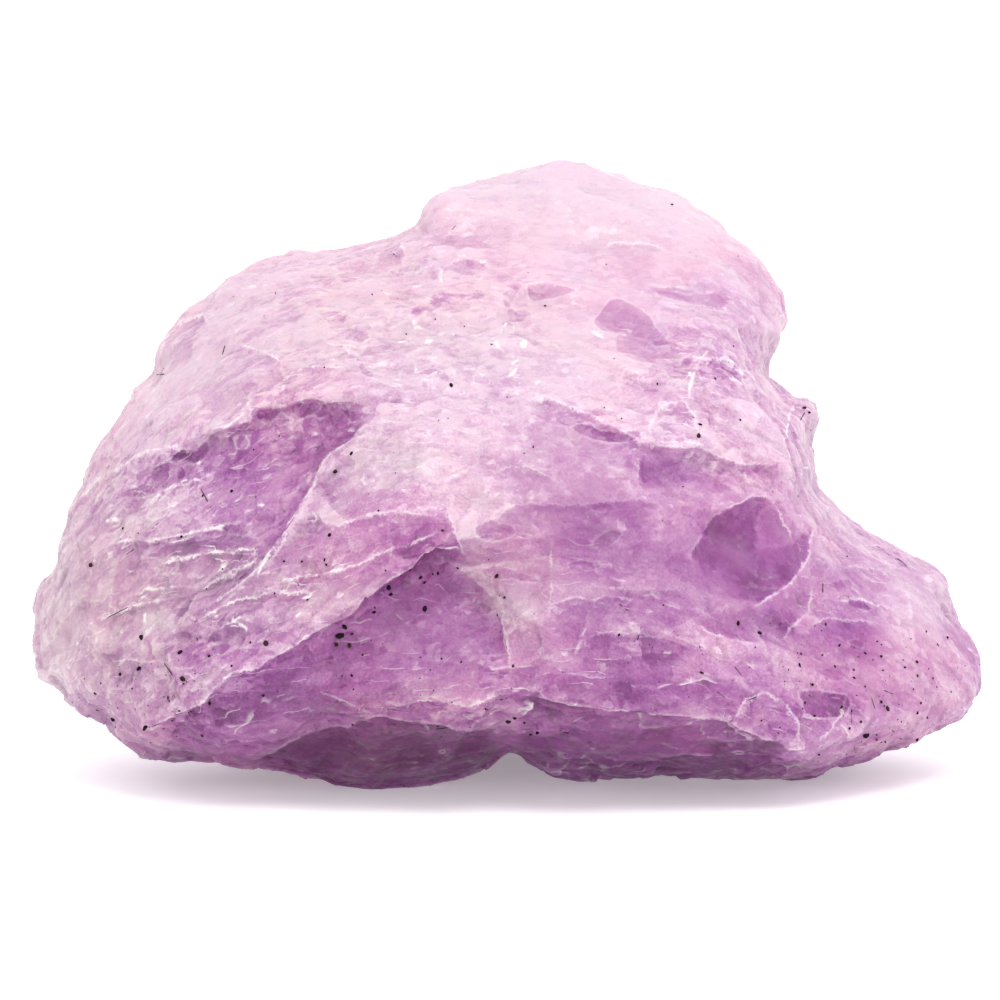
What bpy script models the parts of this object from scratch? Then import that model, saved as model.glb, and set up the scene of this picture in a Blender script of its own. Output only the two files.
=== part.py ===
"""A rough lump of kunzite, broken out of a larger crystal, resting on two worn flats.

The stone is sculpted face-on in millimetres: across (to the right), up, and out (forwards from its middle).
A cage of ridges, ledges and chips gives the front, a coarser one gives the back, and both meet on the rim.
The cage is then remeshed, given its cleavage steps, leaned back on its base and cut flat where it rests.
"""

import math

import bmesh
import bpy
import numpy as np
from mathutils import Matrix, Vector, noise
from mathutils.geometry import delaunay_2d_cdt
from mathutils.kdtree import KDTree

MM = 0.001

# Driving dimensions, in millimetres and degrees.
LEAN_BACK = 10.0  # the face leans back this far when the stone lies on its base
BASE_CUT = 0.55  # height that the worn flats take off the lowest points
RIM_SPACING = 1.0
RIM_GROWTH = 0.08  # made up for by what remeshing and smoothing take off the edge
FLATTENING = 0.84  # share of the cage's depth that is kept
EDGE_ROUND = 2.8  # the rim is rounded over this width, and by this much on each side
VOXEL = 0.42  # remesh size, before the cleavage steps are cut
TRIANGLES = 9400

LEDGE_FOOT = 0.5  # a ledge's foot lies this far below its lip
CHIP_INSET = 0.1  # a chip's floor is its lip, shrunk by this share

# Cleavage steps: thin plates whose lower edges stand proud, along arcs over the stone.
PLATE_PITCH = 3.6
PLATE_LIFT = 0.62
PLATE_WARP = 7.5
ARC_BEND = 0.007  # how fast the plates' arcs fall away to the sides, per mm
# Fracture faces: small planes that tilt this way and that.
FACET_SIZE = 4.6
FACET_TILT = 0.11
LUMP_SIZE = 9.0
LUMP_HEIGHT = 0.4
# Where the front is smoother: (across, up, radius, share of the relief that is left).
CALM_PLACES = [(7.0, 34.0, 10.0, 0.3), (3.0, 17.0, 7.0, 0.6), (23.0, 9.0, 7.0, 0.6), (14.5, 14.5, 4.5, 0.3)]

STONE_COLOUR = (0.62, 0.40, 0.62, 1.0)
STONE_ROUGHNESS = 0.38

# The outline that the stone shows face-on, anticlockwise from its left end: (across, up, out).
RIM = [
    (-29.8, 8.9, 0.0), (-29.5, 6.8, 0.5), (-28.0, 5.8, 1.0), (-26.9, 4.5, 1.5), (-25.0, 3.4, 2.0),
    (-23.6, 2.2, 2.0), (-20.7, 1.6, 2.5), (-17.0, 1.4, 3.0), (-12.9, 0.5, 3.0), (-8.6, 0.1, 3.0),
    (-4.2, 0.5, 3.2), (-1.3, 1.4, 4.0), (0.1, 2.8, 4.5), (1.4, 1.4, 4.0), (3.2, 0.7, 3.4),
    (7.0, 0.6, 3.0), (9.1, 0.7, 3.0), (12.7, 0.3, 3.0), (16.9, 0.4, 2.5), (21.3, 1.1, 2.0),
    (24.8, 2.2, 1.5), (27.3, 3.6, 1.0), (28.9, 5.1, 0.5), (29.8, 7.0, -0.5), (28.7, 9.6, -1.5),
    (27.6, 12.1, -2.5), (27.0, 13.2, -3.0), (24.8, 14.6, -3.0), (22.8, 15.7, -3.0), (20.0, 17.6, -2.0),
    (19.2, 19.6, -1.5), (19.1, 21.5, -1.5), (19.4, 23.2, -2.0), (19.0, 23.9, -2.0), (18.1, 24.1, -2.5),
    (16.3, 25.7, -3.0), (16.5, 26.8, -3.5), (17.1, 28.4, -4.0), (17.2, 30.1, -5.0), (16.1, 32.3, -6.0),
    (13.8, 34.8, -7.0), (11.4, 36.5, -8.0), (8.3, 37.8, -9.0), (5.1, 39.0, -9.5), (2.7, 39.4, -9.5),
    (0.4, 38.5, -9.0), (-2.6, 37.9, -8.0), (-4.4, 37.2, -7.5), (-6.0, 35.2, -7.0), (-7.6, 34.3, -8.0),
    (-11.0, 33.5, -8.5), (-14.9, 33.5, -7.0), (-16.0, 32.5, -6.5), (-17.4, 31.9, -6.0),
    (-18.7, 30.3, -5.5), (-20.5, 29.3, -5.0), (-21.9, 27.4, -4.5), (-22.1, 25.9, -4.0),
    (-23.5, 24.7, -3.5), (-24.2, 23.0, -3.0), (-25.7, 21.0, -2.5), (-26.6, 18.5, -2.0),
    (-27.6, 16.0, -1.5), (-28.5, 13.6, -1.0), (-29.4, 11.5, -0.5),
]

# Ledges: the lip stands proud of what lies under it by the drop.
LEDGES = {
    "brow": (1.5, [
        (-24.6, 17.9, 4.2), (-22.4, 19.6, 6.3), (-20.1, 20.9, 8.0), (-18.3, 22.1, 9.4),
        (-16.5, 22.6, 10.4), (-15.6, 23.5, 10.9), (-14.1, 23.4, 11.4), (-12.8, 24.1, 11.8),
        (-10.9, 24.0, 12.2), (-9.6, 24.4, 12.2), (-8.2, 23.8, 12.0),
    ]),
    "eaves": (1.1, [
        (2.3, 23.7, 11.0), (4.7, 22.6, 11.5), (6.4, 21.9, 11.7), (8.1, 21.4, 11.7),
        (9.5, 21.0, 11.4), (11.8, 20.9, 11.1), (13.2, 20.5, 10.7), (14.6, 20.1, 10.1), (17.0, 20.0, 8.0),
    ]),
    "shelf": (0.9, [
        (-7.0, 28.8, 4.6), (-5.3, 29.2, 4.2), (-4.4, 30.1, 3.0), (-3.2, 30.6, 2.4),
        (-1.2, 30.5, 2.3),
    ]),
    "upper shelf": (0.7, [(-0.4, 29.6, 2.8), (0.3, 30.9, 1.2), (1.5, 31.2, 0.8), (3.6, 30.7, 1.3)]),
    "crease": (1.0, [
        (-8.0, 22.4, 13.0), (-10.0, 20.8, 13.8), (-11.6, 19.0, 14.3), (-12.5, 17.3, 14.5),
        (-14.0, 15.2, 14.4), (-15.9, 13.6, 14.0), (-18.6, 11.0, 13.2), (-21.4, 8.8, 11.6),
    ]),
    "left plate": (0.9, [
        (-28.1, 13.1, 1.8), (-25.4, 14.5, 5.8), (-22.1, 14.5, 9.2), (-18.6, 14.6, 11.0),
        (-15.9, 15.2, 12.2),
    ]),
}

# Chips: a lip all round, and how deep the floor lies behind it.
CHIPS = {
    "right chip": (1.1, [
        (11.2, 14.6, 12.7), (12.0, 16.0, 12.1), (12.4, 16.9, 11.8), (13.9, 17.5, 11.4), (15.6, 17.9, 10.6),
        (16.6, 17.4, 9.8), (17.5, 16.0, 8.7), (18.7, 15.9, 7.3), (18.4, 14.0, 8.4), (17.6, 13.0, 9.6),
        (16.6, 12.6, 10.7), (15.7, 11.7, 11.7), (13.9, 11.2, 12.5), (11.9, 12.6, 12.9),
    ]),
    "lower chip": (0.7, [
        (18.8, 11.6, 8.2), (18.0, 10.5, 9.2), (17.5, 9.4, 10.3), (16.7, 8.8, 11.2), (14.2, 9.0, 12.5),
        (11.9, 9.8, 13.3), (13.0, 10.7, 12.9), (15.7, 11.2, 11.8),
    ]),
    "scar": (0.7, [
        (5.4, 29.1, 2.8), (6.4, 30.2, 1.3), (7.4, 30.2, 1.2), (9.0, 28.8, 2.8), (10.1, 27.4, 4.4),
        (11.0, 26.2, 5.4), (9.2, 26.0, 5.9), (7.4, 27.4, 4.6),
    ]),
}

# Ridges, creases and single high points of the front.
FRONT_LINES = {
    "pocket floor": [
        (-24.1, 16.8, 4.7), (-21.5, 17.3, 6.9), (-18.7, 18.4, 8.7), (-15.9, 19.1, 9.9),
        (-13.4, 20.1, 10.7), (-11.3, 21.4, 11.3), (-9.7, 22.4, 11.7),
    ],
    "pale patch": [
        (-6.4, 21.9, 13.6), (-5.4, 19.6, 14.8), (-3.9, 17.9, 15.9), (-6.6, 16.9, 16.6),
        (-10.4, 15.0, 16.3),
    ],
    "front ridge": [
        (-22.1, 3.7, 8.6), (-19.6, 4.8, 11.3), (-18.0, 6.5, 13.7), (-15.8, 7.7, 15.2), (-13.2, 9.1, 16.4),
        (-10.3, 10.9, 17.3), (-8.3, 12.4, 17.6), (-6.0, 14.1, 17.6), (-3.7, 15.3, 16.8),
    ],
    "hollow": [
        (-3.7, 15.3, 16.8), (-2.3, 14.1, 13.8), (-1.4, 11.6, 13.2), (-0.3, 9.2, 13.9),
        (0.2, 6.7, 14.9),
    ],
    "dark face": [(-12.6, 7.3, 14.4), (-9.5, 9.0, 14.6), (-6.6, 10.9, 14.0), (-4.2, 12.2, 13.4)],
    "keel": [
        (-22.1, 3.7, 8.6), (-18.7, 3.2, 10.2), (-15.1, 4.1, 12.6), (-11.5, 5.1, 14.2), (-8.8, 5.3, 15.2),
        (-5.4, 5.1, 15.7), (-2.5, 5.0, 15.7), (-0.5, 6.0, 15.4), (2.2, 5.7, 15.6), (5.6, 5.0, 15.5),
        (8.7, 4.7, 15.1), (11.7, 4.2, 14.3), (14.5, 3.5, 13.3), (17.6, 2.5, 11.6), (21.1, 2.9, 9.4),
        (24.2, 3.8, 7.0), (27.2, 5.3, 3.8),
    ],
    "undercut": [
        (-16.6, 1.9, 6.2), (-13.4, 3.1, 8.8), (-10.6, 4.2, 11.2), (-8.3, 4.2, 12.1), (-6.0, 3.8, 12.4),
        (-3.6, 3.5, 12.4), (-1.7, 3.6, 12.1), (0.1, 3.9, 11.6), (3.2, 3.6, 11.5), (6.9, 3.3, 11.5),
        (10.6, 3.0, 11.2), (14.3, 2.3, 10.2), (18.0, 1.7, 8.6),
    ],
    "knob": [
        (13.8, 5.1, 13.9), (14.5, 5.9, 13.8), (15.7, 6.1, 13.5), (17.2, 5.5, 12.6), (17.9, 4.2, 11.9),
        (17.4, 3.2, 11.9),
    ],
}
FRONT_POINTS = {
    "crest": [
        (-25.1, 19.6, 0.2), (-22.3, 22.4, 2.4), (-21.0, 25.2, 0.6), (-18.9, 27.1, 0.4), (-19.1, 23.3, 5.8),
        (-17.1, 24.9, 6.8), (-16.0, 27.4, 3.6), (-16.8, 30.3, -2.6), (-13.0, 30.3, -0.6),
        (-12.9, 27.0, 5.6),
        (-9.8, 27.3, 6.6), (-9.9, 30.9, 0.4), (-7.1, 31.8, -1.6), (-7.6, 25.8, 9.0), (-4.9, 34.1, -4.6),
    ],
    "dome": [
        (-4.2, 27.0, 6.8), (-4.8, 23.9, 11.2), (-1.8, 34.1, -4.8), (-0.5, 27.4, 5.8), (-1.1, 23.9, 10.8),
        (2.6, 27.4, 5.2), (3.3, 35.4, -6.2), (2.0, 25.2, 9.0), (5.8, 33.5, -3.6), (6.6, 25.6, 7.4),
        (6.9, 23.9, 9.0), (9.6, 34.1, -4.0), (11.4, 30.2, 0.2), (12.6, 27.1, 4.0), (11.2, 23.6, 8.6),
        (14.2, 30.3, -1.2), (14.8, 27.4, 0.8), (15.0, 23.6, 6.4), (13.3, 33.5, -4.4), (8.3, 31.8, -1.4),
    ],
    "column": [(18.0, 22.4, 2.4), (18.2, 19.6, 3.6), (18.0, 18.2, 5.6), (19.3, 16.7, 3.0)],
    "middle": [
        (-3.3, 21.4, 13.0), (-0.5, 20.8, 13.0), (2.6, 20.7, 12.4), (-1.7, 18.4, 14.6), (1.6, 18.2, 14.2),
        (5.6, 19.0, 12.5), (8.7, 18.2, 12.0), (6.9, 15.9, 13.8), (3.2, 15.3, 14.8), (0.0, 15.0, 15.0),
        (-0.5, 12.7, 15.2), (1.5, 10.9, 15.6), (3.8, 12.4, 15.2), (8.1, 13.5, 14.2), (9.3, 10.1, 14.4),
        (5.6, 9.2, 15.0), (3.2, 8.0, 15.2), (8.7, 6.7, 14.9), (11.7, 6.7, 14.3), (10.3, 16.2, 12.9),
        (14.2, 7.6, 13.2),
    ],
    "tail": [
        (21.3, 14.9, 0.8), (24.5, 12.9, 1.2), (20.3, 12.9, 6.0), (23.1, 10.8, 5.2), (26.3, 10.3, 2.6),
        (21.1, 8.5, 8.2), (24.3, 7.3, 6.2), (27.2, 8.1, 2.4), (22.2, 5.4, 8.8), (19.3, 6.0, 10.2),
    ],
    "left wing": [
        (-27.9, 10.9, 2.2), (-27.9, 8.1, 2.8), (-25.8, 11.2, 6.2), (-25.2, 8.2, 7.4), (-23.5, 5.7, 8.2),
        (-22.1, 11.6, 9.8), (-21.1, 6.1, 10.6), (-18.0, 8.9, 13.0), (-15.1, 10.4, 14.5),
        (-12.4, 12.2, 15.3),
        (-25.8, 5.7, 5.2), (-18.7, 16.5, 9.9), (-22.1, 16.2, 7.6),
    ],
    "belly": [
        (-12.9, 1.8, 7.0), (-8.5, 1.4, 8.0), (-4.2, 1.9, 8.4), (0.0, 3.4, 8.6), (3.2, 1.9, 7.8),
        (8.2, 1.7, 7.4), (13.1, 1.4, 7.0), (17.5, 1.1, 5.8), (-21.6, 2.6, 6.0), (-18.5, 2.1, 6.4),
    ],
}

# The back, which is rounder and has one long step across it.
BACK_LEDGES = {
    "back step": (-1.5, [
        (-16.0, 18.4, -10.6), (-12.4, 20.6, -12.4), (-9.6, 20.0, -13.4), (-6.2, 22.4, -14.2),
        (-1.6, 21.5, -15.2),
        (2.4, 23.6, -15.3), (6.8, 21.8, -14.8), (10.4, 21.4, -13.6), (13.8, 18.8, -11.4),
    ]),
}
BACK_LINES = {
    "back ridge": [
        (-24.0, 9.0, -5.5), (-17.0, 10.0, -10.0), (-9.0, 12.0, -13.6), (0.0, 13.0, -15.6),
        (8.0, 12.5, -15.0), (14.0, 11.0, -12.8), (20.0, 9.0, -9.4), (25.5, 7.5, -5.6),
    ],
    "back foot": [
        (-20.0, 4.6, -3.8), (-12.5, 3.6, -8.6), (-5.0, 3.4, -11.6), (4.0, 3.4, -12.4), (11.5, 3.2, -10.8),
        (19.5, 3.6, -5.8),
    ],
    "upper back": [
        (-19.5, 24.0, -8.6), (-12.0, 27.0, -12.0), (-4.0, 30.0, -13.6), (4.0, 31.5, -14.0),
        (11.0, 29.0, -12.2),
    ],
}
BACK_POINTS = {
    "resting flats": [
        (-13.0, 0.9, 0.0), (-13.0, 1.5, -4.0), (-8.5, 0.3, 0.0), (-8.0, 0.9, -4.0), (-8.0, 1.6, -8.0),
        (-4.0, 1.2, -6.0), (0.2, 3.3, 0.0), (0.4, 2.1, -6.0), (5.0, 0.9, 0.0), (5.0, 1.4, -5.0),
        (9.0, 1.6, -8.0), (12.5, 0.5, 0.0), (13.0, 1.2, -5.0), (18.0, 0.6, 0.0), (18.0, 1.5, -3.4),
    ],
    "tail side": [(24.0, 11.8, -6.4), (20.5, 14.6, -7.6), (26.4, 5.0, -2.6)],
    "notch side": [(16.2, 23.0, -8.0), (13.8, 25.6, -10.4), (15.0, 30.0, -9.0)],
    "left side": [(-26.6, 12.0, -4.6), (-24.6, 17.0, -6.4), (-25.4, 6.2, -2.4)],
}


def clear_scene():
    for obj in list(bpy.data.objects):
        bpy.data.objects.remove(obj)


def smooth_loop(points, spacing):
    """A closed Catmull-Rom curve through the points, read off about every spacing."""
    count = len(points)
    made = []
    for i in range(count):
        before, start, end, after = (np.array(points[(i + k) % count]) for k in (-1, 0, 1, 2))
        steps = max(1, round(float(np.linalg.norm(end - start)) / spacing))
        for step in range(steps):
            t = step / steps
            made.append(
                0.5 * (2 * start + (end - before) * t + (2 * before - 5 * start + 4 * end - after) * t**2
                       + (3 * start - before - 3 * end + after) * t**3)
            )
    return made


def ledge_lines(drop, lip):
    """A ledge's lip, and its foot: a little lower, and further in by the drop where the ledge is whole."""
    foot = []
    for i, (across, up, out) in enumerate(lip):
        at_end = i in (0, len(lip) - 1)
        foot.append((across, up - LEDGE_FOOT, out - drop * (0.35 if at_end else 1.0)))
    return [lip, foot]


def chip_lines(depth, lip):
    """A chip's lip as a closed line, and its floor, shrunk towards the middle and set in."""
    middle = np.mean(lip, axis=0)
    floor = [tuple(np.array(p) + (middle - p) * CHIP_INSET - (0, 0, depth)) for p in lip]
    return [lip + lip[:1], floor + floor[:1]]


def net_of(rim, lines, singles):
    """A triangle net over the rim's outline that keeps every line as edges: (points, faces)."""
    points, edges = [tuple(p) for p in rim], []
    for line in lines:
        start = len(points)
        points += [tuple(p) for p in line]
        edges += [(start + i, start + i + 1) for i in range(len(line) - 1)]
    points += singles
    flat = [Vector(p[:2]) for p in points]
    whole = [list(range(len(rim)))]
    found, _, faces, origins, _, _ = delaunay_2d_cdt(flat, edges, whole, 1, 1e-4)
    net = []
    for place, sources in zip(found, origins):
        out = np.mean([points[s][2] for s in sources]) if sources else nearest_out(place, points)
        net.append((place.x, place.y, float(out)))
    return net, faces


def nearest_out(place, points):
    """Where two lines cross, the new point takes the depth of what is nearest."""
    return min(points, key=lambda p: (p[0] - place.x) ** 2 + (p[1] - place.y) ** 2)[2]


def grown_rim():
    """The outline as a smooth loop, moved outwards by the growth."""
    loop = smooth_loop(RIM, RIM_SPACING)
    count = len(loop)
    grown = []
    for i, point in enumerate(loop):
        across, up = (loop[(i + 1) % count] - loop[i - 1])[:2]
        # The rim runs anticlockwise from the left end, so outwards is to the right of its course.
        outwards = np.array((up, -across, 0.0)) / math.hypot(across, up)
        grown.append(point + outwards * RIM_GROWTH)
    return grown


def cage_mesh():
    """The closed cage: the front net and the back net, joined along the rim."""
    rim = grown_rim()
    front_lines = [line for drop, lip in LEDGES.values() for line in ledge_lines(drop, lip)]
    front_lines += [line for depth, lip in CHIPS.values() for line in chip_lines(depth, lip)]
    front_lines += list(FRONT_LINES.values())
    back_lines = [line for drop, lip in BACK_LEDGES.values() for line in ledge_lines(drop, lip)]
    back_lines += list(BACK_LINES.values())
    sides = (
        (front_lines, [p for group in FRONT_POINTS.values() for p in group], False),
        (back_lines, [p for group in BACK_POINTS.values() for p in group], True),
    )
    bm = bmesh.new()
    for lines, singles, is_back in sides:
        net, faces = net_of(rim, lines, singles)
        # In the face-on frame the viewer looks along +Y, so out is -Y.
        verts = [bm.verts.new((x, -out, up)) for x, up, out in net]
        for face in faces:
            order = reversed(face) if is_back else face
            bm.faces.new([verts[i] for i in order])
    bmesh.ops.remove_doubles(bm, verts=bm.verts, dist=0.01)
    bmesh.ops.recalc_face_normals(bm, faces=bm.faces)
    mesh = bpy.data.meshes.new("cage")
    bm.to_mesh(mesh)
    bm.free()
    return mesh


def with_modifiers(mesh, *modifiers):
    """A new mesh: this one, with the modifiers (type, settings) applied in turn."""
    obj = bpy.data.objects.new("work", mesh)
    bpy.context.scene.collection.objects.link(obj)
    for kind, settings in modifiers:
        modifier = obj.modifiers.new(kind.title(), kind)
        for name, value in settings.items():
            setattr(modifier, name, value)
    graph = bpy.context.evaluated_depsgraph_get()
    made = bpy.data.meshes.new_from_object(obj.evaluated_get(graph))
    bpy.data.objects.remove(obj)
    return made


def round_edges(mesh):
    """Pushes the front and the back apart by a quarter round that starts at the rim."""
    rim = grown_rim()
    tree = KDTree(len(rim))
    for i, (across, up, out) in enumerate(rim):
        tree.insert((across, 0.0, up), i)
    tree.balance()
    for vert in mesh.vertices:
        _, i, away = tree.find((vert.co.x, 0.0, vert.co.z))
        side = -1.0 if -vert.co.y > rim[i][2] else 1.0
        inset = 1.0 - min(1.0, away / EDGE_ROUND)
        vert.co.y = vert.co.y * FLATTENING + side * EDGE_ROUND * math.sqrt(1.0 - inset**2)
    mesh.update()
    return mesh


def cleavage_relief(place):
    """How far the broken surface stands out at a point, in mm: plates, fracture faces and soft lumps."""
    along_arc = place.z + ARC_BEND * place.x**2 + 0.25 * place.y
    warp = noise.noise(place / PLATE_WARP)
    phase = along_arc / PLATE_PITCH + 1.1 * warp
    plate = 1.0 - (phase - math.floor(phase))
    strength = 0.5 + 0.9 * noise.noise(place / 6.0 + Vector((7.0, 3.0, 1.0)))
    relief = PLATE_LIFT * (plate - 0.5) * max(0.0, min(1.0, strength))
    cell_place = Vector((place.x * 0.7, place.y, place.z + ARC_BEND * place.x**2)) / FACET_SIZE
    distances, centres = noise.voronoi(cell_place)
    tilt = noise.cell_vector(centres[0] * 5.0)
    relief += FACET_TILT * FACET_SIZE * (cell_place - centres[0]).dot(tilt)
    for across, up, radius, share in CALM_PLACES:
        away = math.hypot(place.x - across, place.z - up) / radius
        if place.y < 0.0 and away < 1.0:
            relief *= share + (1.0 - share) * away**2
    return relief + LUMP_HEIGHT * noise.noise(place / LUMP_SIZE + Vector((2.0, 9.0, 4.0)))


def broken_surface(mesh):
    """Moves each point of the mesh along its normal by the relief there."""
    normals = [v.normal.copy() for v in mesh.vertices]
    for vert, normal in zip(mesh.vertices, normals):
        vert.co += normal * cleavage_relief(vert.co)
    mesh.update()
    return mesh


def drop_crumbs(bm):
    """Leaves only the largest piece whose faces join along edges."""
    unseen = set(bm.faces)
    pieces = []
    while unseen:
        queue = [unseen.pop()]
        piece = list(queue)
        while queue:
            for edge in queue.pop().edges:
                for face in edge.link_faces:
                    if face in unseen:
                        unseen.remove(face)
                        queue.append(face)
                        piece.append(face)
        pieces.append(piece)
    pieces.sort(key=len)
    for piece in pieces[:-1]:
        bmesh.ops.delete(bm, geom=piece, context="FACES")


def rest_on_base(mesh):
    """Leans the stone back, cuts its lowest points flat and puts the origin under the middle of its box."""
    mesh.transform(Matrix.Rotation(-math.radians(LEAN_BACK), 4, "X"))
    bm = bmesh.new()
    bm.from_mesh(mesh)
    drop_crumbs(bm)
    lowest = min(v.co.z for v in bm.verts)
    everything = bm.verts[:] + bm.edges[:] + bm.faces[:]
    base = {"plane_co": (0, 0, lowest + BASE_CUT), "plane_no": (0, 0, 1)}
    bmesh.ops.bisect_plane(bm, geom=everything, clear_inner=True, dist=0.002, **base)
    drop_crumbs(bm)  # dents inside a flat, which the cut sets free
    bmesh.ops.holes_fill(bm, edges=[e for e in bm.edges if e.is_boundary], sides=0)
    bmesh.ops.triangulate(bm, faces=bm.faces)
    bmesh.ops.recalc_face_normals(bm, faces=bm.faces)
    bm.to_mesh(mesh)
    bm.free()
    places = np.array([v.co for v in mesh.vertices])
    low, high = places.min(axis=0), places.max(axis=0)
    centre = (low + high) / 2
    mesh.transform(Matrix.Scale(MM, 4) @ Matrix.Translation((-centre[0], -centre[1], -low[2])))
    return mesh


def stone_material():
    material = bpy.data.materials.new("kunzite")
    material.use_nodes = True
    shader = material.node_tree.nodes["Principled BSDF"]
    shader.inputs["Base Color"].default_value = STONE_COLOUR
    shader.inputs["Roughness"].default_value = STONE_ROUGHNESS
    shader.inputs["IOR"].default_value = 1.66
    return material


def main():
    clear_scene()
    voxels = ("REMESH", {"mode": "VOXEL", "voxel_size": VOXEL})
    round_stone = round_edges(with_modifiers(cage_mesh(), voxels))
    rough = with_modifiers(round_stone, voxels, ("SMOOTH", {"factor": 0.5, "iterations": 1}))
    broken = with_modifiers(broken_surface(rough), voxels)
    share = TRIANGLES / sum(len(p.vertices) - 2 for p in broken.polygons)
    coarse = with_modifiers(broken, ("TRIANGULATE", {}), ("DECIMATE", {"ratio": share}))
    stone = bpy.data.objects.new("kunzite_lump", rest_on_base(coarse))
    stone.data.materials.clear()
    stone.data.materials.append(stone_material())
    bpy.context.scene.collection.objects.link(stone)


main()
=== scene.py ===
# A rough lump of kunzite on a pale table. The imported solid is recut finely, and given its broken edges,
# cleavage plates, panes and colours. Dark mineral grains are sunk in its surface.
import math

import bmesh
import bpy
import numpy as np
from mathutils import Matrix, Vector
from mathutils.bvhtree import BVHTree


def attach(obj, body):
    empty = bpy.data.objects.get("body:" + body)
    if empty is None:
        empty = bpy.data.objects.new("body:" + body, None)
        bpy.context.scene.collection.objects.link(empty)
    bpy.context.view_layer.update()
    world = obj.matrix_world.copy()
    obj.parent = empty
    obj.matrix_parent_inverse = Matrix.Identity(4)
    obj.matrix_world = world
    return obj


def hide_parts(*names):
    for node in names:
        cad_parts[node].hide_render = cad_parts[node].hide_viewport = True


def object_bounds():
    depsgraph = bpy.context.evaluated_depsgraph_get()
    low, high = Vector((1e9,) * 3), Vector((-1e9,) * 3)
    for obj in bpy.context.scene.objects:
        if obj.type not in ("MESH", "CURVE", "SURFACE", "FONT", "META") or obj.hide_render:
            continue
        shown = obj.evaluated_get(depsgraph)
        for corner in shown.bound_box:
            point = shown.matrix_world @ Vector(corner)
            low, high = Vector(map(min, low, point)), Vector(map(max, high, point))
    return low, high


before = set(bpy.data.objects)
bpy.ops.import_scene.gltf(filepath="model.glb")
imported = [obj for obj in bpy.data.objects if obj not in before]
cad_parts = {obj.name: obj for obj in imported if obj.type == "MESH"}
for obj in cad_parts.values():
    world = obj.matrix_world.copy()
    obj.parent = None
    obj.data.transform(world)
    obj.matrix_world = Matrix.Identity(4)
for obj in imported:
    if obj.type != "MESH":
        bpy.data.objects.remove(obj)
cadBox = [list(corner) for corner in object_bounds()]

# The stone is carved face-on, in millimetres: x to the right, y into the stone, z up.
carving = dict(
    leanBack=10.0,  # degrees, once it lies on its base
    shift=(0.112, -2.487, -0.417),  # from there to the table, in mm
)
carvingToTable = (
    Matrix.Scale(0.001, 4)
    @ Matrix.Translation(carving["shift"])
    @ Matrix.Rotation(-math.radians(carving["leanBack"]), 4, "X")
)


# Node helpers: inputs are values or other nodes' sockets.
def addNode(tree, kind, inputs=None, **settings):
    made = tree.nodes.new(kind)
    for name, value in settings.items():
        setattr(made, name, value)
    for key, value in (inputs or {}).items():
        if isinstance(value, bpy.types.NodeSocket):
            tree.links.new(value, made.inputs[key])
        else:
            made.inputs[key].default_value = value
    return made


def calc(tree, operation, *values):
    return addNode(tree, "ShaderNodeMath", dict(enumerate(values)), operation=operation).outputs[0]


def times(tree, first, second):
    return calc(tree, "MULTIPLY", first, second)


def minus(tree, first, second):
    return calc(tree, "SUBTRACT", first, second)


def clamped(tree, value, most=1.0):
    return calc(tree, "MINIMUM", calc(tree, "MAXIMUM", value, 0.0), most)


def plus(tree, total, value, factor=1.0):
    return calc(tree, "MULTIPLY_ADD", value, factor, total)


def vectorCalc(tree, operation, *values):
    made = addNode(tree, "ShaderNodeVectorMath", dict(enumerate(values)), operation=operation)
    return made.outputs["Value" if operation == "DOT_PRODUCT" else "Vector"]


def vectorPlus(tree, total, vector, factor):
    return vectorCalc(tree, "MULTIPLY_ADD", vector, (factor,) * 3, total)


def vectorTimes(tree, vector, factor):
    return addNode(tree, "ShaderNodeVectorMath", {0: vector, "Scale": factor}, operation="SCALE").outputs[0]


def split(tree, vector):
    return addNode(tree, "ShaderNodeSeparateXYZ", {0: vector}).outputs


def ramp(tree, value, low, high, toLow=0.0, toHigh=1.0):
    inputs = {0: value, 1: low, 2: high, 3: toLow, 4: toHigh}
    return addNode(tree, "ShaderNodeMapRange", inputs, interpolation_type="SMOOTHSTEP").outputs[0]


def noiseOf(tree, place, size, detail=2.0, shift=(0.0, 0.0, 0.0), roughness=0.5, output=0):
    moved = vectorCalc(tree, "ADD", place, shift)
    scale = calc(tree, "DIVIDE", 1.0, size) if isinstance(size, bpy.types.NodeSocket) else 1.0 / size
    inputs = {"Vector": moved, "Scale": scale, "Detail": detail, "Roughness": roughness}
    return addNode(tree, "ShaderNodeTexNoise", inputs).outputs[output]


def blend(tree, kind, factor, first, second):
    # a colour is a socket or three numbers
    first, second = (c if isinstance(c, bpy.types.NodeSocket) else (*c, 1.0) for c in (first, second))
    inputs = {0: factor, 6: first, 7: second}
    return addNode(tree, "ShaderNodeMix", inputs, data_type="RGBA", blend_type=kind).outputs[2]


def shaded(tree, value, stops):
    # a colour ramp with these stops
    made = addNode(tree, "ShaderNodeValToRGB", {0: value})
    elements = made.color_ramp.elements
    for i, (at, colour) in enumerate(stops):
        stop = elements[i] if i < 2 else elements.new(at)
        stop.position, stop.color = at, (*colour, 1.0)
    return made.outputs[0]


# Geometry Nodes helpers
def newTree(name, sizes):
    # a tree that takes a shape and these sizes, and gives a shape
    tree = bpy.data.node_groups.new(name, "GeometryNodeTree")
    tree.interface.new_socket("Geometry", in_out="INPUT", socket_type="NodeSocketGeometry")
    for label, value in sizes.items():
        kind = "NodeSocketInt" if isinstance(value, int) else "NodeSocketFloat"
        tree.interface.new_socket(label, in_out="INPUT", socket_type=kind).default_value = value
    tree.interface.new_socket("Geometry", in_out="OUTPUT", socket_type="NodeSocketGeometry")
    return tree, tree.nodes.new("NodeGroupInput").outputs


def named(tree, name):
    return addNode(tree, "GeometryNodeInputNamedAttribute", {"Name": name}, data_type="FLOAT").outputs[0]


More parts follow.
